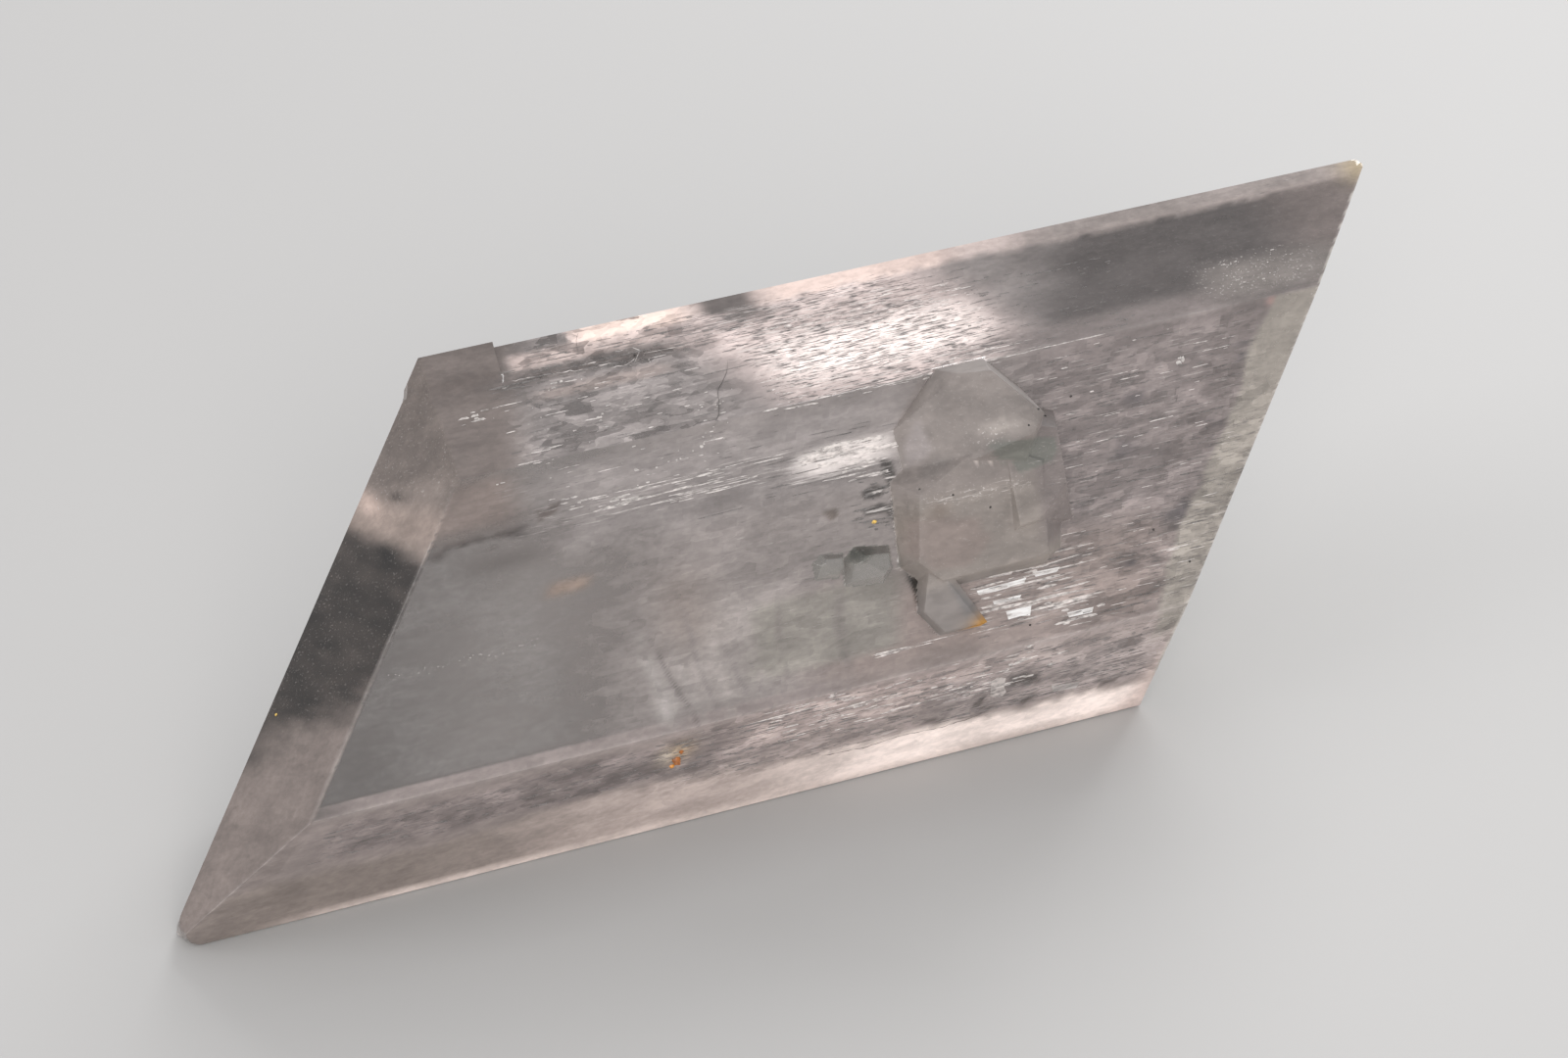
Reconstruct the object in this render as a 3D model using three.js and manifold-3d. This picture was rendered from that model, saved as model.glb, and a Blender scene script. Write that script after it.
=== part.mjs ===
// A selenite (gypsum) crystal: a thick, bevelled, rhomb-shaped plate with a clump of smaller crystals
// grown out of its front face. Everything is grown together, so it is one solid.
//
// Plate frame, used until the last step: x runs along the long edges, y runs up the front face, and z comes
// straight out of that face. The ridge, where the front and back bevels meet, lies in the plane z = 0, and
// its lower left corner is the origin. At the end the plate is leaned back on its lower back bevel.
import * as THREE from "three";
import { ConvexGeometry } from "three/addons/geometries/ConvexGeometry.js";
import { mergeVertices } from "three/addons/utils/BufferGeometryUtils.js";
import Module from "manifold-3d";

// Driving dimensions, in millimetres and degrees.
const LONG_EDGE = 171;
const RIDGE_TO_RIDGE = 80.4;
const ACUTE_CORNER = 54;
const FRONT_DEPTH = 16.7;
const BACK_DEPTH = 24;
const FRONT_LONG_BEVEL = 17.2;
const FRONT_END_BEVEL = 7.5;
const BACK_TOP_BEVEL = 20;
const BACK_END_BEVEL = 9.5;
// The lower back bevel is the face that the crystal rests on. Its lean from the back face is also the angle
// that the plate stands at.
const REST_LEAN = 59.4;
// The acute tips are worn round: the lower left one more than the upper right one.
const LEFT_TIP_RADIUS = 3.4;
const RIGHT_TIP_RADIUS = 1.4;
const TIP_FACETS = 5;
// A growth layer stands proud along the top edge beside the upper left corner.
const STEP_PROUD = 0.9;
const STEP_END = 71;
const STEP_HEIGHT = 4.5;
// A small piece has broken out of the right edge above the lower corner.
const NOTCH_HEIGHT = 13.5;
const NOTCH_SIZE = 1.5;
// Where the small crystals stand on the front face (x, y), and how deep their roots go into the plate.
const UPPER_BLOCK = [139, 52];
const LOWER_BLOCK = [139, 38.5];
const RIGHT_BLADE = [150.4, 47.5];
const TIPPED_RHOMB = [132, 27];
const LARGER_GEM = [120, 35.8];
const SMALLER_GEM = [113.5, 37];
const BLOCK_ROOT = 4;
const RHOMB_ROOT = 3;
const GEM_ROOT = 2;
// How wide and how high the two gems are, from their middle.
const LARGER_GEM_SIZE = [3, 2.6];
const SMALLER_GEM_SIZE = [1.9, 1.5];
const COLOUR = 0xcfc8c4;
const ROUGHNESS = 0.25;

// Tolerances in millimetres: a corner counts as inside a face that it lies on, and corners or vertices that
// nearly meet count as one. Faces whose normals span less than the last value have no shared point.
const ON_FACE = 1e-5;
const SAME_POINT = 1e-4;
const PARALLEL = 1e-6;

const wasm = await Module();
wasm.setup();

const radians = THREE.MathUtils.degToRad;

// The slant of the ends: how far they move along x for each millimetre up the face.
const END_SLANT = 1 / Math.tan(radians(ACUTE_CORNER));

// A crystal face. turn is the way that it looks, seen from the front (0 right, 90 up), and lean is how far
// its outward normal leans away from straight out of the front (180 is straight back).
function face(turn, lean, point) {
  const side = Math.sin(radians(lean));
  const normal = new THREE.Vector3(
    side * Math.cos(radians(turn)),
    side * Math.sin(radians(turn)),
    Math.cos(radians(lean)),
  );
  return new THREE.Plane().setFromNormalAndCoplanarPoint(normal, point);
}

// The point that three faces share, or null where two of them are parallel.
function sharedPoint(a, b, c) {
  const bc = new THREE.Vector3().crossVectors(b.normal, c.normal);
  const ca = new THREE.Vector3().crossVectors(c.normal, a.normal);
  const ab = new THREE.Vector3().crossVectors(a.normal, b.normal);
  const volume = a.normal.dot(bc);
  if (Math.abs(volume) < PARALLEL) return null;
  const sum = bc.multiplyScalar(-a.constant);
  sum.addScaledVector(ca, -b.constant);
  sum.addScaledVector(ab, -c.constant);
  return sum.divideScalar(volume);
}

// The convex crystal inside a set of faces, as a manifold solid.
function crystal(faces) {
  const corners = [];
  for (let i = 0; i < faces.length; i += 1) {
    for (let j = i + 1; j < faces.length; j += 1) {
      for (let k = j + 1; k < faces.length; k += 1) {
        const corner = sharedPoint(faces[i], faces[j], faces[k]);
        if (corner === null) continue;
        const inside = faces.every((f) => f.distanceToPoint(corner) < ON_FACE);
        const isNew = corners.every((c) => c.distanceTo(corner) > SAME_POINT);
        if (inside && isNew) corners.push(corner);
      }
    }
  }
  return solidOf(new ConvexGeometry(corners));
}

// A closed three.js geometry as a manifold solid.
function solidOf(geometry) {
  geometry.deleteAttribute("normal");
  geometry.deleteAttribute("uv");
  const merged = mergeVertices(geometry, SAME_POINT);
  const mesh = new wasm.Mesh({
    numProp: 3,
    vertProperties: new Float32Array(merged.attributes.position.array),
    triVerts: new Uint32Array(merged.index.array),
  });
  return new wasm.Manifold(mesh);
}

// The lean of a bevel that is set back by inset at depth below its ridge.
function bevelLean(depth, inset) {
  return THREE.MathUtils.radToDeg(Math.atan2(depth, inset));
}

// Upright facets that round an acute tip: they touch a circle of the tip's radius.
function roundedTip(corner, towards, radius) {
  const halfCorner = radians(ACUTE_CORNER / 2);
  const inwards = radians(towards);
  const reach = radius / Math.sin(halfCorner);
  const centreX = corner.x + reach * Math.cos(inwards);
  const centreY = corner.y + reach * Math.sin(inwards);
  const spread = 180 - ACUTE_CORNER;
  const facets = [];
  for (let i = 0; i < TIP_FACETS; i += 1) {
    const turn = towards + 180 + spread * ((i + 0.5) / TIP_FACETS - 0.5);
    const x = centreX + radius * Math.cos(radians(turn));
    const y = centreY + radius * Math.sin(radians(turn));
    facets.push(face(turn, 90, new THREE.Vector3(x, y, 0)));
  }
  return facets;
}

// The bevelled rhomb plate. proud moves its top ridge and both upper bevels outwards.
function plate(proud) {
  const top = RIDGE_TO_RIDGE + proud;
  const lowerLeft = new THREE.Vector3(0, 0, 0);
  const lowerRight = new THREE.Vector3(LONG_EDGE, 0, 0);
  const upperRight = new THREE.Vector3(LONG_EDGE + top * END_SLANT, top, 0);
  const leftTurn = 90 + ACUTE_CORNER;
  const rightTurn = leftTurn - 180;
  const frontLong = bevelLean(FRONT_DEPTH, FRONT_LONG_BEVEL);
  const frontEnd = bevelLean(FRONT_DEPTH, FRONT_END_BEVEL);
  const backTop = 180 - bevelLean(BACK_DEPTH, BACK_TOP_BEVEL);
  const backEnd = 180 - bevelLean(BACK_DEPTH, BACK_END_BEVEL);
  return crystal([
    face(0, 0, new THREE.Vector3(0, 0, FRONT_DEPTH)),
    face(0, 180, new THREE.Vector3(0, 0, -BACK_DEPTH)),
    face(270, frontLong, lowerLeft),
    face(90, frontLong, upperRight),
    face(270, 180 - REST_LEAN, lowerLeft),
    face(90, backTop, upperRight),
    face(leftTurn, frontEnd, lowerLeft),
    face(rightTurn, frontEnd, lowerRight),
    face(leftTurn, backEnd, lowerLeft),
    face(rightTurn, backEnd, lowerRight),
    ...roundedTip(lowerLeft, ACUTE_CORNER / 2, LEFT_TIP_RADIUS),
    ...roundedTip(upperRight, 180 + ACUTE_CORNER / 2, RIGHT_TIP_RADIUS),
  ]);
}

// A box turned about z, as a manifold solid: size along, across and out of the face, around a centre.
function block(size, centre, turn) {
  const geometry = new THREE.BoxGeometry(size.x, size.y, size.z);
  geometry.rotateZ(radians(turn));
  geometry.translate(centre.x, centre.y, centre.z);
  return solidOf(geometry);
}

// The proud growth layer: the part of a slightly higher plate that lies beside the upper left corner.
function growthStep() {
  const depth = 2 * (FRONT_DEPTH + BACK_DEPTH);
  const size = new THREE.Vector3(2 * STEP_END, 2 * STEP_HEIGHT, depth);
  const centre = new THREE.Vector3(0, RIDGE_TO_RIDGE, 0);
  return plate(STEP_PROUD).intersect(block(size, centre, 0));
}

// The small break in the right edge.
function edgeNotch() {
  const x = LONG_EDGE + NOTCH_HEIGHT * END_SLANT;
  const size = new THREE.Vector3(2 * NOTCH_SIZE, 2 * NOTCH_SIZE, 3 * FRONT_DEPTH);
  const centre = new THREE.Vector3(x, NOTCH_HEIGHT, FRONT_DEPTH);
  return block(size, centre, ACUTE_CORNER + 45);
}

// A small crystal grown out of the front face around a place on it. Each of the faces is [turn, lean,
// distance from that place]. Its root ends inside the plate.
function grownFromFace([centreX, centreY], root, faces) {
  const centre = new THREE.Vector3(centreX, centreY, FRONT_DEPTH);
  const bottom = new THREE.Vector3(centreX, centreY, FRONT_DEPTH - root);
  const sides = faces.map(([turn, lean, distance]) => {
    const plane = face(turn, lean, centre);
    plane.constant -= distance;
    return plane;
  });
  return crystal([...sides, face(0, 180, bottom)]);
}

// The largest crystal of the clump. Its broad face looks out and to the left.
function upperBlock() {
  return grownFromFace(UPPER_BLOCK, BLOCK_ROOT, [
    [180, 33, 6.1],
    [184, 38, 6.4],
    [90, 84, 11.6],
    [132, 80, 9.7],
    [159, 75, 12.2],
    [191, 75, 14],
    [256, 50, 6.6],
    [0, 80, 12],
    [322, 60, 11.6],
    [44, 72, 12.4],
    [20, 8, 15],
  ]);
}

// The flatter crystal below it. Its right end runs down into the face.
function lowerBlock() {
  return grownFromFace(LOWER_BLOCK, BLOCK_ROOT, [
    [250, 8, 5.2],
    [270, 66, 8.4],
    [226, 70, 11.8],
    [176, 68, 12.4],
    [120, 60, 12.5],
    [60, 60, 14],
    [350, 46, 11.4],
    [300, 64, 12.2],
  ]);
}

// The low, flat-topped blade at the clump's right end.
function rightBlade() {
  return grownFromFace(RIGHT_BLADE, BLOCK_ROOT, [
    [0, 66, 5.6],
    [180, 80, 7.5],
    [70, 62, 6.4],
    [276, 66, 11.6],
    [20, 8, 5.8],
    [315, 40, 8.4],
  ]);
}

// The small rhomb-shaped crystal below the clump, which carries the yellow tip.
function tippedRhomb() {
  return grownFromFace(TIPPED_RHOMB, RHOMB_ROOT, [
    [169, 84, 4.7],
    [216, 80, 4.3],
    [270, 76, 4.8],
    [0, 82, 5.6],
    [28, 76, 3.4],
    [90, 84, 7],
    [208, 18, 3.2],
    [30, 28, 4],
  ]);
}

// A small gemlike crystal, size millimetres from its middle to its sides and height above the face.
function gem(place, [size, height]) {
  return grownFromFace(place, GEM_ROOT, [
    [175, 62, size * 1.25],
    [0, 64, size * 1.2],
    [80, 62, size * 0.85],
    [262, 60, size * 0.9],
    [125, 58, size * 1.05],
    [315, 60, size * 1.1],
    [60, 14, height],
    [230, 22, height],
  ]);
}

const solid = [
  growthStep(),
  upperBlock(),
  lowerBlock(),
  rightBlade(),
  tippedRhomb(),
  gem(LARGER_GEM, LARGER_GEM_SIZE),
  gem(SMALLER_GEM, SMALLER_GEM_SIZE),
].reduce((whole, next) => whole.add(next), plate(0).subtract(edgeNotch()));

// The finished solid as a three.js geometry with flat faces.
function geometryOf(manifold) {
  const mesh = manifold.getMesh();
  const geometry = new THREE.BufferGeometry();
  geometry.setAttribute("position", new THREE.BufferAttribute(mesh.vertProperties, 3));
  geometry.setIndex(new THREE.BufferAttribute(mesh.triVerts, 1));
  return geometry;
}

const material = new THREE.MeshStandardMaterial({ color: COLOUR, roughness: ROUGHNESS, metalness: 0 });
const selenite = new THREE.Mesh(geometryOf(solid), material);
selenite.name = "selenite_crystal";
selenite.rotation.x = radians(REST_LEAN);
selenite.updateMatrixWorld(true);

// The origin is the bottom centre of the leaning crystal.
const box = new THREE.Box3().setFromObject(selenite, true);
selenite.position.set(-(box.min.x + box.max.x) / 2, -(box.min.y + box.max.y) / 2, -box.min.z);

const group = new THREE.Group();
group.add(selenite);

export default group;
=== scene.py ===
import math

import bmesh
import bpy
import numpy as np
from mathutils import Matrix, Vector


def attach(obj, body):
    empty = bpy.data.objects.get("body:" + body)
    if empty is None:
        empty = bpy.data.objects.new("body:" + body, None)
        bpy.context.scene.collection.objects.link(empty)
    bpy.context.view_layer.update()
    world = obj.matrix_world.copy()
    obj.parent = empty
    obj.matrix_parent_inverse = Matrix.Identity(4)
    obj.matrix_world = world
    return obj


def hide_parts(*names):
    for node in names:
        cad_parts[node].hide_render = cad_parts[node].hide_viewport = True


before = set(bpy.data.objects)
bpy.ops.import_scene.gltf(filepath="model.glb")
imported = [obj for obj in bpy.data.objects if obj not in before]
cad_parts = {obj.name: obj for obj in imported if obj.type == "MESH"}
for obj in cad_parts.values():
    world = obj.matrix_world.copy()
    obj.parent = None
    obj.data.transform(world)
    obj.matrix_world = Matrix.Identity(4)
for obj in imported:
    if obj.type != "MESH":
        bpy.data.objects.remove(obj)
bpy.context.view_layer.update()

# ---- The plate's sizes, in millimetres and radians -------------------------------------------------------
LONG_EDGE = 171.0
HEIGHT = 80.4
ACUTE = math.radians(54)
LEAN = math.radians(59.4)
SLANT = 1 / math.tan(ACUTE)
# Depth of the front and back halves, and how far their bevels reach in: left, right, low and high.
FRONT = 16.7
BACK = 24.0
FRONT_INSETS = (7.5, 7.5, 17.2, 17.2)
BACK_INSETS = (9.5, 9.5, BACK / math.tan(LEAN), 20)
# The growth step at the upper left: how far it stands out, where it ends and how deep it reaches.
STEP_PROUD = 0.9
STEP_END = 71.0
STEP_HEIGHT = 4.5
# Its end stays upright for this much more depth, and each side of that wall is this share of the edge's
# length from the middle of it.
STEP_ROW = 0.6
STEP_WALL = 0.00005
# The small piece broken out of the right edge: its v, its depth and the lowest w that it reaches.
NOTCH_AT = 13.5
NOTCH_DEPTH = 2.0
NOTCH_LOW = -8.0
# Radii of the worn tips.
LEFT_TIP = 3.4
RIGHT_TIP = 1.4
# The lower left corner of the ridge's outline in the part's frame, and the way from plate to part.
CORNER_IN_PART = Vector((-0.115663, -0.022717, 0))
MM = 0.001
TO_PART = Matrix.Translation(CORNER_IN_PART) @ Matrix.Rotation(LEAN, 4, "X") @ Matrix.Scale(MM, 4)
# Body mesh: cells along the long and end edges, and rows down the bevels.
FINE_LONG, FINE_END, FINE_ROWS = 300, 124, 30
COARSE_LONG, COARSE_END, COARSE_ROWS = 110, 50, 12
# A point this far above the front faces belongs to the clump.
CLUMP_LEAST = 0.3
# It lies in this range of u and v, and below FOOT_TOP where it meets the broad face. There the surface
# turns at least FOOT_TURNS (a cosine) from that face.
CLUMP_RANGE = (100, 166, 18, 68)
FOOT_TOP = HEIGHT - FRONT_INSETS[3] - 2
FOOT_TURNS = 0.985
BROAD_NORMAL = (0, -math.sin(LEAN), math.cos(LEAN))
# Points below this w show the back.
BACK_BELOW = -0.3
# CAD points this close are one, facets this much alike are one face, and edges this sharp get worn.
MERGE = 0.01
ONE_FACE = math.radians(0.6)
SHARP = 0.2
# The clump's roots in the plate, its worn edges and how finely its faces are cut up to carry paint.
ROOT_DEPTH = 3.0
CLUMP_WEAR = 0.14
CLUMP_CUTS = 9
# Faces that meet at less than this are shaded as one.
SMOOTH_BELOW = math.radians(17)
# The deep veil's height above the ridge's plane, its margin and its cells.
VEIL_LEVEL = 3.0
VEIL_MARGIN = 8.0
VEIL_CELLS = (200, 80)
# How far flakes stand off the faces, and their range of depths below that or, sealed ones, below the face.
SCALE_RISE = 0.09
ON_SURFACE = (-0.02, 0)
SEALED_BELOW = 0.35
# A flake is left out if it comes this near to an edge, or if the face below it rises more than STEEPEST.
FLAKE_MARGIN = 0.25
STEEPEST = 0.8
# A ribbon has points this far apart.
RIBBON_STEP = 0.7

# ---- Studio and camera -----------------------------------------------------------------------------------
# The lamps: name, place, watts and colour. Each is a square, LAMP_SIDE metres wide.
LAMPS = [
    ("key", (-0.7, -1.6, 1.05), 30, (1, 0.97, 0.94)),
    ("side", (-1.7, 0.3, 1.2), 12, (1, 1, 1)),
    ("back", (1.3, 1.3, 1.1), 34, (1, 1, 1)),
]
LAMP_SIDE = 1.2
LAMPS_AIM_AT = (0, 0, 0.03)
WORLD_COLOUR = (0.85, 0.85, 0.86, 1)
FLOOR_COLOUR = (0.345, 0.341, 0.338, 1)
FLOOR_HALF = 3.0
FLOOR_LOW = -0.0002
# The camera's angles in degrees, its target and distance in metres, and its lens and sensor in millimetres.
CAMERA_AZIMUTH, CAMERA_ELEVATION, CAMERA_ROLL = -28.206, 35.215, 3.896
CAMERA_TARGET, CAMERA_DISTANCE = (0.022587, 0.043811, 0), 1.018
CAMERA_LENS, CAMERA_SENSOR = 137.37, 36

# ---- How screen tones become surface colours -------------------------------------------------------------
# How brightly the studio shows a white surface, and what the gloss adds to it.
LIGHT_ON_WHITE = 1.35
GLARE = 0.04
# The photo's tones are made this much greyer and paler for a pale floor.
GREYER = 0.22
PALER = 1.18
# How much light falls on each face against the broad one, and what the sky and the floor give of it. Colours
# are divided by these, so a face given less light is painted lighter: painted light.
LIGHT = {"broad": 1, "left": 1, "low": 0.85, "high": 1, "clump": 1.22}
SKY_LIGHT, FLOOR_LIGHT = 0.85, 0.6
# How far the paint makes up for the shading of the clump and of the back, from 0 to 1: painted light where a
# facet gets less light and painted shade where it gets more, standing in for light scattered in the milk.
CLUMP_SHADE_PAINTED_OUT = 0.85
BACK_SHADE_PAINTED_OUT = 0.7
# The share of slanted blocks that the milk has everywhere.
LEAST_BLOCKS = 0.12
# Clear selenite and what it absorbs, and the fibres and speckle in it.
IOR = 1.52
CLEAR = (0.965, 0.935, 0.92, 1)
ABSORBING, DENSITY = (0.66, 0.6, 0.58, 1), 14
# Fibre colours: bright fibres painted as glints, dark fibres, tiny cracks, painted dark as reflections of
# darkness.
BRIGHT_FIBRE = (0.62, 0.58, 0.56, 1)
DARK_FIBRE = (0.11, 0.1, 0.098, 1)
SPECKLE = (0.55, 0.52, 0.5, 1)


# ---- Smooth random patterns ------------------------------------------------------------------------------
def lattice_noise(x, y, seed):
    """Smooth noise from -1 to 1 with one feature per unit of x and of y."""
    table = np.random.RandomState(seed).uniform(-1, 1, (256, 256))
    xi, yi = np.floor(x).astype(int), np.floor(y).astype(int)
    fx, fy = x - xi, y - yi
    fx, fy = fx * fx * (3 - 2 * fx), fy * fy * (3 - 2 * fy)
    a, b = table[xi % 256, yi % 256], table[(xi + 1) % 256, yi % 256]
    c, d = table[xi % 256, (yi + 1) % 256], table[(xi + 1) % 256, (yi + 1) % 256]
    return (a * (1 - fx) + b * fx) * (1 - fy) + (c * (1 - fx) + d * fx) * fy


def smoothstep(low, high, x):
    t = np.clip((x - low) / (high - low), 0, 1)
    return t * t * (3 - 2 * t)


# ---- The plate's outside ---------------------------------------------------------------------------------
def heights(u, v):
    """How far a place is inside each of the four edges of the ridge's outline: left, right, low, high."""
    left = (u - v * SLANT) * math.sin(ACUTE)
    right = (LONG_EDGE + v * SLANT - u) * math.sin(ACUTE)
    return left, right, v, HEIGHT - v


def rise(u, v, depth, insets, inset):
    """How far the outside of one half, moved in by inset, is from the ridge's plane."""
    slopes = [depth / reach for reach in insets]
    sides = [h * k - inset * math.hypot(1, k) for h, k in zip(heights(u, v), slopes)]
    return np.minimum(np.minimum.reduce(sides), depth - inset)


def front_height(u, v, inset=0):
    """w of the front half's outside, moved in by inset."""
    return rise(u, v, FRONT, FRONT_INSETS, inset)


def on_sides(u, v, insets):
    """Which of the four bevels each place is on: left, right, low and high masks."""
    left, right, near_low, near_high = [h / reach for h, reach in zip(heights(u, v), insets)]
    near_end = np.minimum(left, right)
    is_end = (near_end < 1) & (near_end <= near_low) & (near_end <= near_high)
    is_low = (near_low < 1) & ~is_end & (near_low <= near_high)
    is_high = (near_high < 1) & ~is_end & ~is_low
    return is_end & (left < right), is_end & (right <= left), is_low, is_high


# ---- The crystal's body ----------------------------------------------------------------------------------
def rhomb(low, high, end, w):
    """The four corners of a rhomb in the plane w, from the lower left one: inset from the ridge's outline."""
    e = end / math.sin(ACUTE)
    top = HEIGHT - high
    return np.array([
        [low * SLANT + e, low, w],
        [LONG_EDGE + low * SLANT - e, low, w],
        [LONG_EDGE + top * SLANT - e, top, w],
        [top * SLANT + e, top, w],
    ])


def blend(corners, s, t):
    """The place that is s of the way along a rhomb and t of the way up it."""
    return (corners[0] * (1 - s) + corners[1] * s) * (1 - t) + (corners[3] * (1 - s) + corners[2] * s) * t


def crowded(n, edge=0.004):
    """n + 1 values from 0 to 1, evenly spaced but for a narrow first and last step."""
    return np.concatenate([[0], np.linspace(edge, 1 - edge, n - 1), [1]])


class Rim:
    """The points round a rhomb: along its lower, right, upper and left side in turn."""

    def __init__(self, long_steps, end_steps):
        self.long_steps, self.end_steps = long_steps, end_steps
        back_again = 1 - long_steps[::-1], 1 - end_steps[::-1]
        self.sides = [steps[:-1] for steps in (long_steps, end_steps, *back_again)]

    def outline(self, corners):
        ends = zip(corners, np.roll(corners, -1, axis=0), self.sides)
        return np.concatenate([a + (b - a) * t[:, None] for a, b, t in ends])

    def shares(self):
        """How far round the outline each of its points is, from 0 to 4."""
        return np.concatenate([side + t for side, t in enumerate(self.sides)])


class Shell:
    """Collects the points and faces of one closed surface."""

    def __init__(self):
        self.points, self.faces, self.count = [], [], 0

    def add(self, points):
        ids = np.arange(self.count, self.count + len(points))
        self.points.append(points)
        self.count += len(points)
        return ids

    def quads(self, a, b, c, d, flip):
        faces = np.stack([a, b, c, d], axis=-1).reshape(-1, 4)
        self.faces += (faces[:, ::-1] if flip else faces).tolist()

    def bevels(self, ring, outer, inner, rows, flip):
        """Rings of quads from outer to inner, the first one joined to ring."""
        for r in rows:
            upper = self.add(outer + (inner - outer) * r)
            self.quads(ring, np.roll(ring, -1), np.roll(upper, -1), upper, flip)
            ring = upper
        return ring

    def stitch(self, many, at_many, few, at_few):
        """Triangles between two rings of unequal counts, by each point's share of the way round."""
        i = j = 0
        while i < len(many) or j < len(few):
            next_i = at_many[i + 1] if i + 1 < len(many) else 4 if i < len(many) else 9
            next_j = at_few[j + 1] if j + 1 < len(few) else 4 if j < len(few) else 9
            a, b = many[i % len(many)], few[j % len(few)]
            if next_i <= next_j:
                self.faces.append([b, many[(i + 1) % len(many)], a])
                i += 1
            else:
                self.faces.append([b, few[(j + 1) % len(few)], a])
                j += 1

    def cap(self, ring, corners, rim, flip):
        """The flat face inside a ring of points."""
        nl, ne = len(rim.long_steps) - 1, len(rim.end_steps) - 1
        s, t = np.meshgrid(rim.long_steps, rim.end_steps, indexing="ij")
        grid = blend(corners, s[..., None], t[..., None])
        ids = np.zeros((nl + 1, ne + 1), int)
        ids[1:-1, 1:-1] = self.add(grid[1:-1, 1:-1].reshape(-1, 3)).reshape(nl - 1, ne - 1)
        ids[:-1, 0] = ring[:nl]
        ids[-1, :-1] = ring[nl : nl + ne]
        ids[1:, -1] = ring[nl + ne : 2 * nl + ne][::-1]
        ids[0, 1:] = ring[2 * nl + ne :][::-1]
        self.quads(ids[:-1, :-1], ids[1:, :-1], ids[1:, 1:], ids[:-1, 1:], flip)


def body_shell():
    """The plate's points, in plate millimetres, and its faces: a fine front half and a coarser back half."""
    fine = Rim(crowded(FINE_LONG), crowded(FINE_END, 0.006))
    coarse = Rim(crowded(COARSE_LONG), crowded(COARSE_END))
    ridge = rhomb(0, 0, 0, 0)
    front = rhomb(FRONT_INSETS[2], FRONT_INSETS[3], FRONT_INSETS[0], FRONT)
    back = rhomb(BACK_INSETS[2], BACK_INSETS[3], BACK_INSETS[0], -BACK)
    shell = Shell()
    outer, inner = fine.outline(ridge), fine.outline(front)
    ridge_ring = shell.add(outer)
    ring = shell.bevels(ridge_ring, outer, inner, crowded(FINE_ROWS, 0.008)[1:], flip=False)
    shell.cap(ring, front, fine, flip=False)
    outer, inner = coarse.outline(ridge), coarse.outline(back)
    rows = crowded(COARSE_ROWS, 0.01)
    ring = shell.add(outer + (inner - outer) * rows[1])
    shell.stitch(ridge_ring, fine.shares(), ring, coarse.shares())
    ring = shell.bevels(ring, outer, inner, rows[2:], flip=True)
    shell.cap(ring, back, coarse, flip=True)
    return np.concatenate(shell.points), shell.faces


def round_tip(points, corner, towards, radius):
    """Pulls the points outside a tip's arc in to it."""
    reach = radius / math.sin(ACUTE / 2)
    inwards = np.array([math.cos(towards), math.sin(towards)])
    centre = np.array(corner) + reach * inwards
    away = points[:, :2] - centre
    distance = np.linalg.norm(away, axis=1) + 1e-9
    cosine = -(away @ inwards) / distance
    outside = (cosine > math.cos(math.pi / 2 - ACUTE / 2)) & (distance > radius)
    points[outside, :2] = centre + away[outside] * (radius / distance[outside])[:, None]


def cut_notch(points):
    """Breaks a small piece out of the right edge."""
    u, v, w = points.T
    right = heights(u, v)[1]
    ragged = 1 + 0.25 * lattice_noise(v / 0.7, w / 2.5, 17)
    least = (NOTCH_DEPTH - np.abs(v - NOTCH_AT)) * ragged
    broken = (w > NOTCH_LOW) & (right < least)
    inwards = np.array([-math.sin(ACUTE), math.cos(ACUTE)])
    points[broken, :2] += (least - right)[broken, None] * inwards


def relief(u, v):
    """The unevenness of the outer faces: growth striations along the long edges and long low steps."""
    lift = 0.008 * lattice_noise(u / 60, v / 0.8, 11)
    lift += 0.004 * lattice_noise(u / 25, v / 0.5, 12)
    lift += 0.05 * lattice_noise(u / 40, v / 14, 13)
    steps = lattice_noise(u / 70, v / 3, 14) + 0.3 * lattice_noise(u / 12, v / 1.3, 15)
    return lift + 0.02 * smoothstep(0.2, 0.3, steps)


def raise_step(moved, u, high, w):
    """Lifts the growth step out of the upper edge, with an upright end along one column of the mesh."""
    on_back = w < 0
    inset = np.where(on_back, BACK_INSETS[3], FRONT_INSETS[3])
    end = np.where(on_back, BACK_INSETS[0], FRONT_INSETS[0]) / math.sin(ACUTE)
    start = HEIGHT * SLANT + (end - inset * SLANT) * high / inset
    length = LONG_EDGE - 2 * end * high / inset
    past = (u - start) / length - (STEP_END - HEIGHT * SLANT) / LONG_EDGE
    column = 1 / np.where(on_back, COARSE_LONG, FINE_LONG)
    at_end = (high < STEP_HEIGHT + STEP_ROW) & (np.abs(past) < column)
    proud = (high < STEP_HEIGHT) & (past < 0)
    nudge = np.where(past < 0, -1, 1) * STEP_WALL - past
    moved[at_end, 0] += (nudge * length)[at_end]
    moved[proud, 1] += STEP_PROUD


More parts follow.
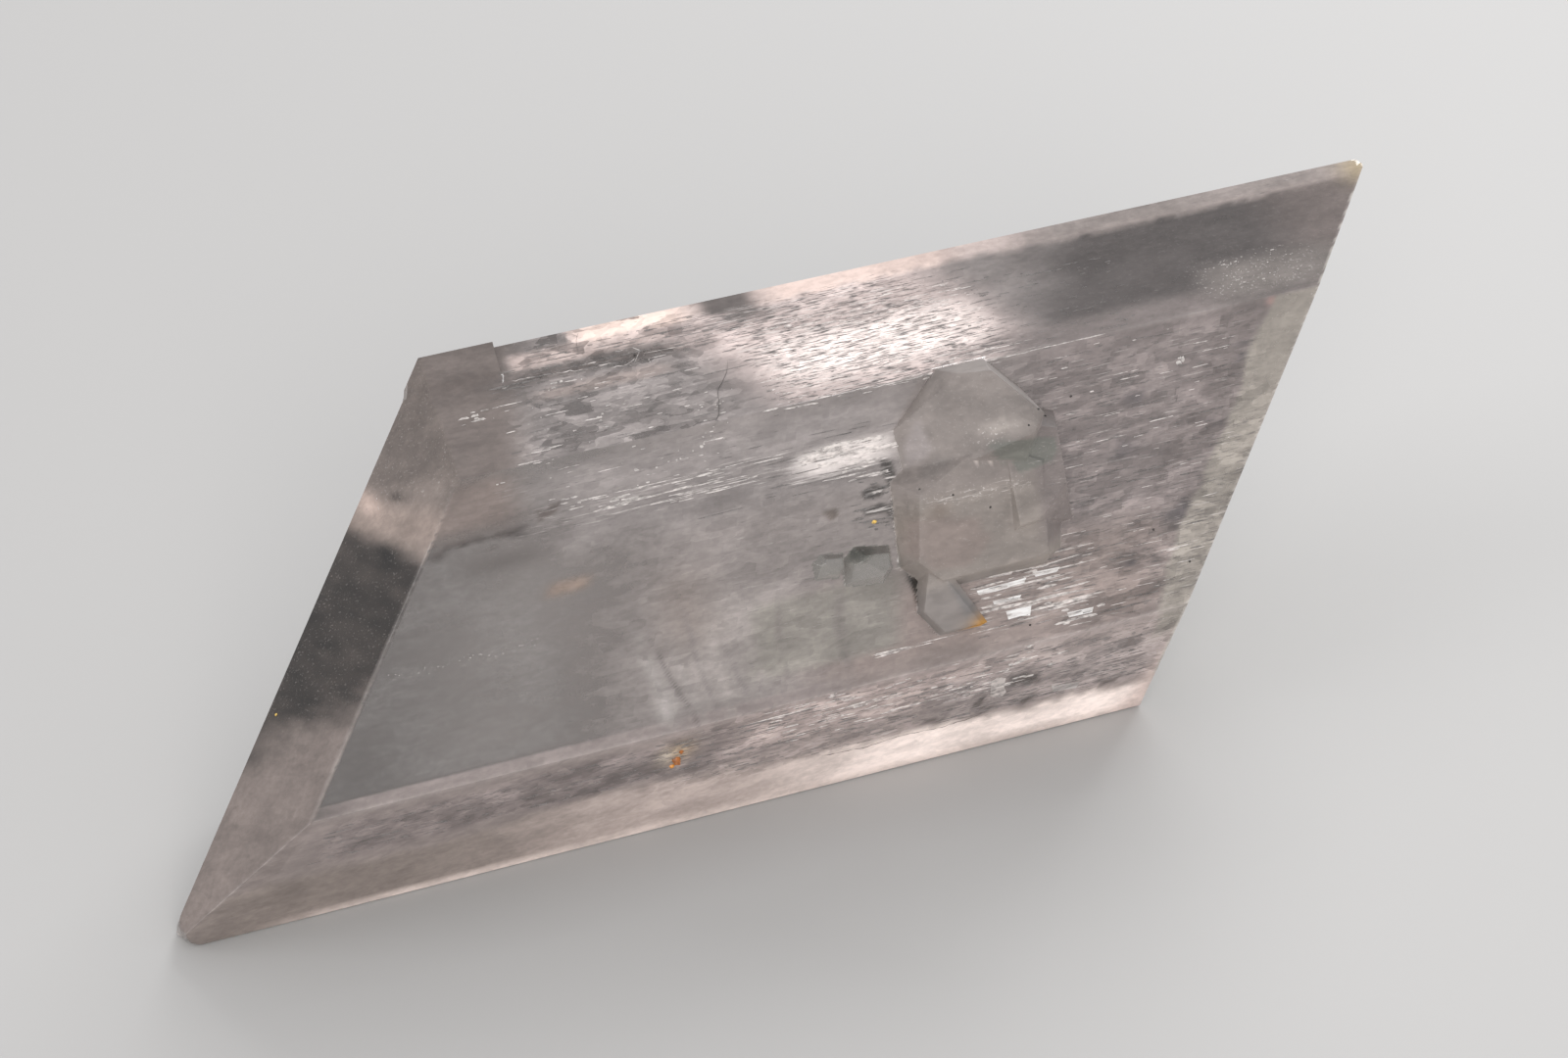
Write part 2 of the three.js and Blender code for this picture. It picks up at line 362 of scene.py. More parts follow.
def shape_body(points):
    """Adds the growth step, the worn tips, the notch, the worn edges and the relief."""
    u, v, w = points.T
    flat_front, flat_back = np.abs(w - FRONT) < 1e-6, np.abs(w + BACK) < 1e-6
    flat = flat_front | flat_back
    sides = heights(u, v)
    nearest = np.stack([h * FRONT / inset for h, inset in zip(sides, FRONT_INSETS)]).argmin(0)
    normal = np.zeros_like(points)
    turns = [math.pi / 2 + ACUTE, ACUTE - math.pi / 2, -math.pi / 2, math.pi / 2]
    for side, (turn, inset) in enumerate(zip(turns, FRONT_INSETS)):
        lean = math.atan2(FRONT, inset)
        outwards = [math.sin(lean) * math.cos(turn), math.sin(lean) * math.sin(turn), math.cos(lean)]
        normal[(nearest == side) & ~flat] = outwards
    normal[w < -1e-6, 2] *= -1
    normal[flat_front] = [0, 0, 1]
    normal[flat_back] = [0, 0, -1]
    # The pattern is finer on the bevels, and the back's is taken from elsewhere than the front's.
    lift = relief(u, v * np.where(flat, 1, 1.4) + np.where(w < 0, 57.3, 0))
    lift *= smoothstep(0, 0.8, np.minimum.reduce([*sides, np.abs(w) * 0.7]))
    moved = points + normal * lift[:, None]
    raise_step(moved, u, sides[3], w)
    cut_notch(moved)
    round_tip(moved, (0, 0), ACUTE / 2, LEFT_TIP)
    round_tip(moved, (LONG_EDGE + HEIGHT * SLANT, HEIGHT), math.pi + ACUTE / 2, RIGHT_TIP)
    return moved


def placed(name, data):
    made = bpy.data.objects.new(name, data)
    bpy.context.scene.collection.objects.link(made)
    return made


def mesh_object(name, material, points=(), faces=(), found=None):
    """An object of plate millimetres, from points and faces or from a bmesh, which is used up."""
    mesh = bpy.data.meshes.new(name)
    if found:
        found.to_mesh(mesh)
        found.free()
    else:
        mesh.from_pydata([tuple(p) for p in points], [], faces)
    mesh.transform(TO_PART)
    mesh.materials.append(material)
    mesh.update()
    return placed(name, mesh)


# ---- The plate and its clump -----------------------------------------------------------------------------
def clump_mesh():
    """The clump's outer facets from the CAD node, in plate millimetres, open where they meet the face."""
    found = bmesh.new()
    found.from_mesh(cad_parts["selenite_crystal"].data)
    found.transform(TO_PART.inverted())
    bmesh.ops.remove_doubles(found, verts=found.verts, dist=MERGE)
    flat = [f for f in found.faces if max(v.co.z for v in f.verts) < FRONT + 2 * MERGE]
    bmesh.ops.delete(found, geom=flat, context="FACES")
    bmesh.ops.dissolve_limit(found, angle_limit=ONE_FACE, verts=found.verts, edges=found.edges)
    return found


def clump_object(material):
    """The clump as a closed solid with roots inside the plate, its edges a little worn."""
    clump = clump_mesh()
    rim = [e for e in clump.edges if e.is_boundary]
    sharp = [e for e in clump.edges if not e.is_boundary and e.calc_face_angle(0) > SHARP]
    made = bmesh.ops.extrude_edge_only(clump, edges=rim)
    for vert in made["geom"]:
        if isinstance(vert, bmesh.types.BMVert):
            vert.co.z = FRONT - ROOT_DEPTH
    floor_edges = [e for e in clump.edges if e.is_boundary]
    bmesh.ops.triangle_fill(clump, use_beauty=True, edges=floor_edges)
    bmesh.ops.bevel(clump, geom=sharp, offset=CLUMP_WEAR, segments=1, affect="EDGES", clamp_overlap=True)
    bmesh.ops.triangulate(clump, faces=clump.faces)
    bmesh.ops.subdivide_edges(clump, edges=clump.edges, cuts=CLUMP_CUTS, use_grid_fill=True)
    bmesh.ops.recalc_face_normals(clump, faces=clump.faces)
    return mesh_object("clump", material, found=clump)


def joined(plate, clump):
    """The plate with the clump joined to it as one closed surface."""
    union = plate.modifiers.new("join", "BOOLEAN")
    union.operation, union.solver, union.object = "UNION", "MANIFOLD", clump
    bpy.context.view_layer.update()
    whole = bpy.data.meshes.new_from_object(plate.evaluated_get(bpy.context.evaluated_depsgraph_get()))
    plate.modifiers.clear()
    plate.data = whole
    bpy.data.objects.remove(clump)
    whole.polygons.foreach_set("use_smooth", [True] * len(whole.polygons))
    whole.set_sharp_from_angle(angle=SMOOTH_BELOW)
    return plate


# ---- Materials -------------------------------------------------------------------------------------------
class Tree:
    """A material with its node tree, and short ways to add nodes to it."""

    def __init__(self, name):
        self.material = bpy.data.materials.new(name)
        self.material.use_nodes = True
        self.tree = self.material.node_tree
        self.shader = self.tree.nodes["Principled BSDF"]
        self.output = self.tree.nodes["Material Output"]
        self.place = self.plate_place()

    def feed(self, node, inputs):
        """Links or sets each of these inputs."""
        for key, value in inputs.items():
            if isinstance(value, bpy.types.NodeSocket):
                self.tree.links.new(value, node.inputs[key])
            else:
                node.inputs[key].default_value = value

    def add(self, kind, inputs, **settings):
        node = self.tree.nodes.new("ShaderNode" + kind)
        for key, value in settings.items():
            setattr(node, key, value)
        self.feed(node, inputs)
        return node

    def math(self, operation, a, b, clamp=False):
        return self.add("Math", {0: a, 1: b}, operation=operation, use_clamp=clamp).outputs[0]

    def times(self, a, b, clamp=False):
        return self.math("MULTIPLY", a, b, clamp)

    def ramp(self, value, low, high, start=0, end=1):
        """value's place between low and high, smoothed, as a number from start to end."""
        inputs = {"Value": value, "From Min": low, "From Max": high, "To Min": start, "To Max": end}
        return self.add("MapRange", inputs, interpolation_type="SMOOTHSTEP").outputs[0]

    def mix(self, share, a, b):
        """A colour between a and b. The mix node keeps its colours on sockets 6, 7 and 2."""
        return self.add("Mix", {0: share, 6: a, 7: b}, data_type="RGBA").outputs[2]

    def scaled(self, colour, by):
        return self.add("VectorMath", {0: colour, "Scale": by}, operation="SCALE").outputs[0]

    def attribute(self, name):
        return self.add("Attribute", {}, attribute_name=name).outputs

    def parts(self, colour):
        return self.add("SeparateColor", {"Color": colour}).outputs

    def plate_place(self):
        """The place in plate millimetres."""
        corner = Matrix.Rotation(-LEAN, 3, "X") @ (CORNER_IN_PART / MM)
        inputs = {
            "Vector": self.add("TexCoord", {}).outputs["Object"],
            "Location": -corner,
            "Rotation": (-LEAN, 0, 0),
            "Scale": (1 / MM, 1 / MM, 1 / MM),
        }
        return self.add("Mapping", inputs, vector_type="POINT").outputs[0]

    def noise(self, size, detail=3, roughness=0.55, shift=0):
        """Noise from 0 to 1 whose features are size (along, up, out) millimetres large."""
        scale = [1 / side for side in size]
        inputs = {"Vector": self.place, "Location": (shift, shift, shift), "Scale": scale}
        scaled = self.add("Mapping", inputs, vector_type="POINT").outputs[0]
        inputs = {"Vector": scaled, "Scale": 1, "Detail": detail, "Roughness": roughness}
        return self.add("TexNoise", inputs).outputs["Fac"]

    def blocks(self, size, slant=0.35):
        """A random value from 0 to 1 for each of many slanted blocks, size millimetres large."""
        along, up, out = self.add("SeparateXYZ", {"Vector": self.place}).outputs
        along = self.math("SUBTRACT", along, self.times(up, slant))
        cells = [self.math("DIVIDE", at, side) for at, side in zip((along, up, out), size)]
        cells = self.add("CombineXYZ", dict(zip("XYZ", cells))).outputs[0]
        voronoi = self.add("TexVoronoi", {"Vector": cells, "Scale": 1}, distance="CHEBYCHEV")
        return self.parts(voronoi.outputs["Color"])[0]

    def bump(self, height, distance):
        return self.add("Bump", {"Height": height, "Distance": distance, "Strength": 1}).outputs[0]

    def see_through(self, opacity, colour, translucent=0.3):
        """Mixes the shader with light passing through it, and lets the rest through by opacity."""
        through = self.add("BsdfTranslucent", {"Color": colour}).outputs[0]
        body = self.add("MixShader", {0: translucent, 1: self.shader.outputs[0], 2: through}).outputs[0]
        clear = self.add("BsdfTransparent", {}).outputs[0]
        self.feed(self.output, {"Surface": self.add("MixShader", {0: opacity, 1: clear, 2: body}).outputs[0]})


def selenite():
    """Clear selenite, milky where it is painted: the milk hides what lies behind it by its share."""
    t = Tree("selenite")
    painted, streaks = t.attribute("milk"), t.attribute("streaks")
    bright_share, dark_share, speckle_share = t.parts(streaks["Color"])
    clouds = t.ramp(t.noise((14, 6, 6), 5, 0.6), 0.3, 0.7, 0.91, 1.09)
    grain = t.ramp(t.noise((1.5, 0.8, 0.8), 3, 0.6, 7), 0.25, 0.75, 0.95, 1.05)
    large, small = t.blocks((5, 1.7, 3)), t.blocks((2.1, 0.8, 1.5))
    block = t.math("ADD", t.times(large, 0.6), t.times(small, 0.4))
    broken = t.times(t.math("SUBTRACT", block, 0.5), streaks["Alpha"])
    cloudy = t.times(t.times(clouds, grain), t.math("ADD", broken, 1))
    soft = t.times(painted["Alpha"], cloudy, clamp=True)
    # A larger share of streaks lowers the noise level at which they show.
    long_fibres = t.noise((6, 0.32, 0.32), 5, 0.7, 3)
    short_fibres = t.noise((2.4, 0.26, 0.26), 3, 0.6, 5)
    bright_at = t.math("SUBTRACT", 0.72, t.times(bright_share, 0.26))
    dark_at = t.math("SUBTRACT", 0.74, t.times(dark_share, 0.26))
    bright = t.times(t.math("SUBTRACT", long_fibres, bright_at), 5, clamp=True)
    dark = t.times(t.math("SUBTRACT", short_fibres, dark_at), 6, clamp=True)
    speckle = t.ramp(t.noise((0.5, 0.35, 0.35), 2, 0.5, 9), 0.6, 0.72)
    # Bright streaks are fibres painted bright as glints, dark ones tiny cracks painted dark as reflections of
    # darkness.
    colour = t.mix(bright, t.scaled(painted["Color"], cloudy), BRIGHT_FIBRE)
    colour = t.mix(dark, colour, DARK_FIBRE)
    colour = t.mix(t.times(speckle, speckle_share), colour, SPECKLE)
    streaked = t.math("MAXIMUM", t.times(bright, 0.85), t.times(dark, 0.8))
    opacity = t.math("MAXIMUM", soft, streaked)
    worn = t.ramp(t.noise((3, 2, 2), 4), 0.45, 0.75, 0.03, 0.14)
    t.feed(t.shader, {
        "Base Color": t.mix(t.ramp(opacity, 0, 0.45), CLEAR, colour),
        "Transmission Weight": t.math("SUBTRACT", 1, opacity, clamp=True),
        "IOR": IOR,
        "Roughness": t.math("ADD", worn, t.times(t.attribute("frost")["Fac"], 0.38)),
        "Normal": t.bump(t.noise((9, 0.35, 0.35), 2), 0.00001),
    })
    absorb = t.add("VolumeAbsorption", {"Color": ABSORBING, "Density": DENSITY})
    t.feed(t.output, {"Volume": absorb.outputs["Volume"]})
    return t.material


def veil():
    """Milky selenite in a thin sheet: painted colour and opacity, clouded and streaked by noise."""
    t = Tree("deep_veil")
    painted = t.attribute("milk")
    bright_share, dark_share, _ = t.parts(t.attribute("streaks")["Color"])
    clouds = t.ramp(t.noise((16, 9, 9), 5, 0.6), 0.32, 0.68, 0.62, 1.3)
    grain = t.ramp(t.noise((1.6, 0.9, 0.9), 3, shift=7), 0.25, 0.75, 0.86, 1.12)
    soft = t.times(t.times(painted["Alpha"], clouds), grain, clamp=True)
    long_fibres = t.noise((9, 0.42, 2), 3, 0.6, 3)
    short_fibres = t.noise((3.2, 0.33, 2), 3, 0.6, 5)
    bright = t.times(t.ramp(long_fibres, 0.5, 0.66), bright_share)
    dark = t.times(t.ramp(short_fibres, 0.52, 0.68), dark_share)
    # Its fibres are painted bright as glints and dark as reflections of darkness.
    colour = t.mix(bright, painted["Color"], (0.97, 0.93, 0.91, 1))
    colour = t.mix(dark, colour, (0.045, 0.04, 0.038, 1))
    opacity = t.math("MAXIMUM", t.math("MAXIMUM", soft, t.times(bright, 0.95)), dark)
    t.feed(t.shader, {"Base Color": colour, "Roughness": t.ramp(long_fibres, 0.3, 0.7, 0.75, 0.4)})
    t.see_through(opacity, colour)
    return t.material


def plain(name, colour, rough=0.6, speckle=(1.2, 0.5, 0.5), opacity=None):
    """The material of a sealed piece of one colour, mottled by noise."""
    t = Tree(name)
    mottle = t.noise(speckle, 4)
    darker, lighter = [c * 0.65 for c in colour], [min(1, c * 1.35) for c in colour]
    shade = t.mix(t.ramp(mottle, 0.3, 0.7), (*darker, 1), (*lighter, 1))
    rubbed = t.ramp(mottle, 0.3, 0.7, rough, rough * 0.6)
    t.feed(t.shader, {"Base Color": shade, "Roughness": rubbed, "Normal": t.bump(mottle, 0.00005)})
    if opacity is not None:
        t.see_through(t.times(t.ramp(mottle, 0.2, 0.6, 0.5, 1.2), opacity, clamp=True), shade)
    return t.material


# ---- Paint -----------------------------------------------------------------------------------------------
def linear(shown):
    """The linear light of an 0 to 255 screen colour."""
    c = np.asarray(shown, float) / 255
    return np.where(c <= 0.04045, c / 12.92, ((c + 0.055) / 1.055) ** 2.4)


def surface_colour(shown, light=1):
    """The colour of a surface that the studio shows as this screen colour, a little greyer and paler."""
    wanted = linear(shown)
    wanted = (wanted + (wanted.mean() - wanted) * GREYER) * PALER
    return np.clip((wanted - GLARE) / (LIGHT_ON_WHITE * np.atleast_1d(light)[:, None]), 0.008, 0.93)


def sealed_colour(shown, light=1):
    """The same for something sealed in the crystal, which shuts part of the light in."""
    shade = linear(shown) / LIGHT_ON_WHITE
    return np.minimum(shade / (0.27 + 0.6 * shade), 0.97)


def light_on(normals):
    """How much light falls on surfaces with these world normals, against that on the broad face."""
    def total(n):
        up = n[:, 2]
        light = SKY_LIGHT * (1 + up) / 2 + FLOOR_LIGHT * (1 - up) / 2
        for _, place, watts, _ in LAMPS:
            towards = np.array(place) - LAMPS_AIM_AT
            distance = np.linalg.norm(towards)
            light += watts * np.maximum(n @ (towards / distance), 0) / (math.pi * distance) ** 2
        return light

    return total(normals) / total(np.array([BROAD_NORMAL]))


class Paint:
    """Milk colour and opacity, shares of bright and dark streaks, of speckle and of broken blocks, and frost.

    Each place (u, v) has its own. The masks are 1 inside a shape and 0 outside it, with soft edges.
    """

    def __init__(self, u, v, to_colour=surface_colour):
        self.u, self.v, self.to_colour, self.light = u, v, to_colour, 1
        self.milk, self.streaks = np.zeros((2, len(u), 4))
        self.streaks[:, 3] = LEAST_BLOCKS
        self.frost = np.zeros(len(u))
        self.whole = np.ones(len(u))

    def noise(self, along, up, seed):
        """Noise from -1 to 1 whose features are this many millimetres large."""
        return lattice_noise(self.u / along, self.v / up, seed)

    def patch(self, where, soft=(4, 1.2), lean=0, shift_u=0, shift_v=0):
        """The mask of the range (u from, to, v from, to). lean tilts its ends, and the shifts warp it."""
        u0, u1, v0, v1 = where
        v = self.v + shift_v
        u = self.u + shift_u - lean * (v - (v0 + v1) / 2)
        a = smoothstep(u0 - soft[0], u0 + soft[0], u) * (1 - smoothstep(u1 - soft[0], u1 + soft[0], u))
        return a * smoothstep(v0 - soft[1], v0 + soft[1], v) * (1 - smoothstep(v1 - soft[1], v1 + soft[1], v))

    def spot(self, at, size):
        return np.exp(-(((self.u - at[0]) / size[0]) ** 2) - ((self.v - at[1]) / size[1]) ** 2)

    def polygon(self, corners, soft=0.25, shift_u=0, shift_v=0):
        """The mask of a polygon with an edge soft millimetres wide, warped by the shifts."""
        u, v = self.u + shift_u, self.v + shift_v
        corners = np.array(corners, float)
        distance = np.full(len(u), 1e9)
        inside = np.zeros(len(u), bool)
        for a, b in zip(corners, np.roll(corners, -1, axis=0)):
            along = b - a
            t = np.clip(((u - a[0]) * along[0] + (v - a[1]) * along[1]) / (along @ along), 0, 1)
            distance = np.minimum(distance, np.hypot(u - a[0] - t * along[0], v - a[1] - t * along[1]))
            crosses = (a[1] > v) != (b[1] > v)
            reach = a[0] + (v - a[1]) * along[0] / (along[1] if along[1] else 1e-9)
            inside ^= crosses & (u < reach)
        return smoothstep(-soft, soft, np.where(inside, distance, -distance))

    def over(self, mask, shown, opacity):
        """Lays milk over what is there, where mask is 1."""
        m = np.clip(mask, 0, 1)[:, None]
        colour = self.to_colour(shown, self.light)
        self.milk[:, :3] = self.milk[:, :3] * (1 - m) + colour * m
        self.milk[:, 3:] = self.milk[:, 3:] * (1 - m) + opacity * m

    def streak(self, mask, bright=0, dark=0, speckle=0, blocks=0):
        """Raises the shares of streaks and speckle, and of the slanted blocks that break the milk up."""
        for channel, share in enumerate((bright, dark, speckle, blocks)):
            here = np.clip(mask, 0, 1) * share
            self.streaks[:, channel] = np.maximum(self.streaks[:, channel], here)

    def mottle(self, mask, amount, seed, coarse, fine=None, share=0.5):
        """Lightens and darkens the milk by coarse noise and a share of fine noise."""
        pattern = self.noise(*coarse, seed)
        if fine:
            pattern = pattern + share * self.noise(*fine, seed + 1)
        self.milk[:, :3] *= 1 + (np.clip(mask, 0, 1) * pattern * amount)[:, None]

    def matt(self, mask, amount):
        self.frost = np.maximum(self.frost, np.clip(mask, 0, 1) * amount)

    def haze(self, on, rows):
        """Lays milk in patches. Each is (range, softness, lean, tone, opacity)."""
        for where, soft, lean, shown, opacity in rows:
            self.over(on * self.patch(where, soft, lean), shown, opacity)

    def fibres(self, on, rows):
        """Streaks patches. Each is (range, softness, shares as in streak)."""
        for where, soft, *shares in rows:
            self.streak(on * self.patch(where, soft), *shares)

    def stains(self, rows):
        """Lays milk in spots. Each is (place, size, tone, opacity)."""
        for at, size, shown, opacity in rows:
            self.over(self.spot(at, size), shown, opacity)

    def store(self, mesh):
        for attribute, values in (("milk", self.milk), ("streaks", self.streaks)):
            layer = mesh.attributes.new(attribute, "FLOAT_COLOR", "POINT")
            layer.data.foreach_set("color", values.astype(np.float32).reshape(-1))
        layer = mesh.attributes.new("frost", "FLOAT", "POINT")
        layer.data.foreach_set("value", self.frost.astype(np.float32))


# ---- What the front faces show ---------------------------------------------------------------------------
# Milk on the broad face: range of u and v, softness, lean, tone and opacity.
MIDDLE_HAZE = [
    ((84, 104, 20, 37), (6, 5), 0, (170, 161, 157), 0.62),
    ((66, 128, 48.5, 62), (12, 3), 0, (160, 152, 150), 0.62),
]
LOW_HAZE = [
    ((108, 172, 17, 33), (10, 4), 0, (163, 147, 141), 0.66),
    ((98, 124, 22, 33.5), (2.5, 1), 0.2, (160, 154, 146), 0.62),
    ((24, 112, 16, 19.2), (6, 0.25), 0, (160, 148, 145), 0.72),
]
SMALL_HAZE = [
    ((54, 66, 48.4, 50.6), (5, 1.4), 0, (126, 120, 117), 0.42),
    ((66.4, 73.2, 42.5, 44.4), (1.8, 0.9), 0.5, (172, 150, 135), 0.48),
    ((84, 92, 30, 41), (5, 4), 0, (162, 150, 144), 0.5),
    ((36, 64, 54.8, 63.2), (4, 2), 0, (142, 128, 122), 0.62),
]
# A bright streak painted near white as a flash of reflected light.
BRIGHT_STREAK = [((112, 127, 51.4, 55.4), (4, 1), 0, (240, 229, 225), 0.88)]
# Upright veils below the broad face: u at mid-height, v from and to, width, lean, tone and opacity.
UPRIGHTS = [
    (81.4, 19, 34, 1.6, -0.27, (184, 177, 173), 0.52),
    (84.2, 17, 33, 0.35, -0.31, (112, 106, 105), 0.55),
    (86.4, 18, 30, 0.7, -0.2, (180, 172, 168), 0.52),
    (89, 20, 35, 0.5, -0.12, (146, 138, 136), 0.52),
    (92.2, 18, 31, 1, -0.05, (186, 177, 172), 0.56),
    (95.1, 17, 29, 0.45, -0.2, (140, 133, 131), 0.55),
    (98.6, 18, 32, 0.9, -0.1, (184, 174, 170), 0.56),
    (103.4, 19, 34, 0.6, 0.05, (150, 142, 138), 0.52),
    (113.8, 20, 34, 1.1, 0.1, (150, 142, 138), 0.5),
]
# Streaks on the broad face: range, softness, and shares of bright, dark, speckle and blocks.
FACE_FIBRES = [
    ((60, 132, 51.5, 57), (12, 1.2), 0.74, 0.55),
    ((108, 128, 50.2, 56.2), (4, 1), 1.05, 0.45),
    ((136, 157, 20, 32), (2.5, 1.2), 0.74, 0.7),
    ((150, 174, 54, 61), (4, 1.5), 0.6, 0.6),
    ((56, 110, 57, 63), (8, 2), 0.45, 0.55),
    ((90, 140, 18, 50), (10, 4), 0.42, 0.38),
    ((62, 128, 17, 63), (12, 5), 0, 0, 0, 0.22),
]
# Smoky blotches among the fibres to the right: place and size.
DARK_BLOTCHES = [
    ((166.8, 44.4), (3, 1.6)),
    ((184.8, 45.3), (2.6, 0.8)),
    ((175.8, 32.4), (3.6, 2.2)),
    ((167, 26.2), (3.2, 1.8)),
    ((172, 52), (3, 1)),
    ((192.6, 55), (2.6, 2.6)),
    ((156.5, 37), (2.4, 0.8)),
]
# Faint rainbow colours under the right corner: place, size, tone and opacity.
TINTS = [
    ((198.6, 62.4), (0.9, 0.7), (196, 158, 150), 0.75),
    ((200, 62), (0.8, 0.7), (170, 178, 160), 0.75),
    ((201.2, 61.6), (0.8, 0.7), (160, 172, 196), 0.75),
]
# A dark gap beside the small rhomb, painted dark as the shade in it.
DARK_WEDGE = [(126, 33.2), (128.9, 31.4), (128.6, 28.6), (127.8, 25.4), (127, 29.2)]
BROWN_PATCH = [(113.8, 45.6), (116.4, 45.8), (116.6, 44.5), (115, 43.8)]
CREVICES = [
    [(125, 51.8), (127.2, 51.2), (127.6, 47.6), (126.2, 46.9), (125.2, 49)],
    [(120.9, 47.3), (123.4, 47.9), (125.4, 47.3), (124.4, 45.8), (121.4, 45.9)],
    [(120.6, 44.4), (124, 45), (127.4, 43.4), (127.2, 42.2), (125.8, 41.4), (124.6, 43.2), (121, 43.4)],
]
LOW_STAINS = [
    ((84.2, 13.4), (2.8, 1.7), (174, 150, 122), 0.75),
    ((82, 13), (1.2, 1.2), (198, 184, 168), 0.8),
]
# Milk on the upper bevel, in its left and right parts, and on the strip along its top.
LEAF_HAZE = [
    ((72, 100, 76.2, 78.6), (1, 0.5), 0, (184, 166, 160), 0.8),
    ((66, 110, 74.2, 76), (4, 0.6), 0, (124, 115, 112), 0.72),
    ((74, 96, 71.6, 73), (3, 0.4), 0, (176, 160, 154), 0.75),
]
CORNER_HAZE = [
    ((150, 200, 62.8, 66), (14, 1.2), 0, (138, 128, 126), 0.72),
    ((190, 214, 64, 69), (5, 1.6), 0, (142, 134, 130), 0.7),
]
STRIP_HAZE = [
    ((85, 103, 70, 90), (3, 1), 0, (226, 200, 188), 0.95),
    ((106, 115, 70, 90), (2, 1), 0, (108, 101, 99), 0.9),
    ((118, 150, 70, 90), (4, 1), 0, (222, 197, 187), 0.96),
]
STRIP_DEPTH = 2.1
# How far the frost reaches in from the right edge, at rising v.
FROST_REACH = [(0, 9), (12, 9.5), (17, 12), (30, 13.5), (45, 13.6), (60, 14.3), (66, 14.4)]
# How high the bright milk stands on the lower bevel, at rising u.
MILK_RISE = [(0, 6.5), (25, 8), (60, 8.2), (80, 8.6), (100, 6.8), (140, 5.4), (168, 4.4)]
DARK_BREAKS = [
    [(66.9, 55.9), (70.4, 56.7), (70, 55.2), (68.6, 54.4), (66.8, 54)],
    [(143.4, 12.6), (148.6, 11.4), (149.2, 9.6), (146, 9.4), (144.2, 10)],
    [(137.6, 10), (139.3, 9.6), (140, 7.3), (142.9, 6.7), (141, 6.2), (138, 7.4)],
    [(145.8, 7.7), (150.4, 7.3), (149.6, 6.3), (146.2, 6.6)],
    [(160.2, 7), (166, 6.7), (165, 5.9), (161, 6)],
    [(128.6, 7.6), (133, 7.4), (132.2, 6.8), (129.2, 6.9)],
]


def paint_front(u, v, light):
    """Milk, fibres and dark places, with painted highlights and painted dark reflections."""
    on_left, on_right, on_low, on_high = on_sides(u, v, FRONT_INSETS)
    p = Paint(u, v)
    paint_broad_face(p, ~(on_left | on_right | on_low | on_high))
    paint_left_bevel(p, on_left)
    paint_lower_bevel(p, on_low)
    paint_upper_bevel(p, on_high)
    paint_right_edge(p, on_right, light)
    paint_breaks(p)
    paint_edges(p)
    return p


def paint_broad_face(p, on):
    """Clear at its lower left, milkier in the middle and hazy with fibres to the right."""
    u, v = p.u, p.v
    p.light = LIGHT["broad"]
    p.over(on, (143, 137, 134), 0.36)
    p.over(on * (1 - smoothstep(34, 62, u - 0.35 * (v - 40))), (120, 116, 114), 0.4)
    p.over(on * smoothstep(62, 92, u - 0.3 * (v - 40)), (160, 151, 148), 0.6)
    p.haze(on, MIDDLE_HAZE)
    p.over(on * smoothstep(138, 156, u - 0.2 * (v - 40)), (145, 134, 132), 0.72)
    p.haze(on, LOW_HAZE)
    smears = smoothstep(-0.5, 0.5, p.noise(4.5, 0.8, 61) + 0.5 * p.noise(1.5, 0.6, 62))
    p.over(p.patch((48, 70, 51.9, 54.2), (3, 0.6)) * smears, (98, 92, 90), 0.66)
    p.haze(on, SMALL_HAZE)
    p.over(p.spot((82, 21.3), (1.5, 2.6)), (198, 190, 186), 0.6)
    wander, worn = 0.5 * p.noise(50, 2.6, 63), smoothstep(-0.9, 0.2, p.noise(9, 2.2, 64))
    for at, low, top, wide, lean, shown, opacity in UPRIGHTS:
        here = p.patch((at - wide / 2, at + wide / 2, low, top), (wide, 3), lean, wander)
        p.over(here * worn, shown, opacity)
    # The gap, painted as its shade.
    p.over(p.polygon(DARK_WEDGE, 0.4), (66, 64, 62), 0.88)
    p.haze(on, BRIGHT_STREAK)
    p.streak(on, 0.16, 0.2)
    p.fibres(on, FACE_FIBRES)
    p.streak(p.patch((39, 63, 35.2, 36.6), (3, 0.5)), speckle=0.75)
    fibrous = on * p.patch((146, 196, 17, 63), (7, 4))
    p.streak(fibrous, 0.52, 0.72, blocks=0.45)
    p.mottle(fibrous, 0.2, 65, (7, 1.6), (2.5, 0.8))
    ragged = smoothstep(-0.7, 0.3, p.noise(3, 0.9, 67))
    for at, size in DARK_BLOTCHES:
        p.over(1.3 * p.spot(at, size) * ragged, (116, 109, 110), 0.74)
    p.mottle(on, 0.05, 68, (11, 6), (3, 2), 0.4)
    p.mottle(on * smoothstep(78, 92, u), 0.08, 70, (6, 3.5))
    for corners in CREVICES:
        here = p.polygon(corners, 0.35)
        p.over(here, (86, 82, 80), 0.86)
        p.streak(here, 0.85, 0.6)
    p.over(p.polygon(BROWN_PATCH, 0.4), (120, 110, 104), 0.7)
    p.stains(TINTS)


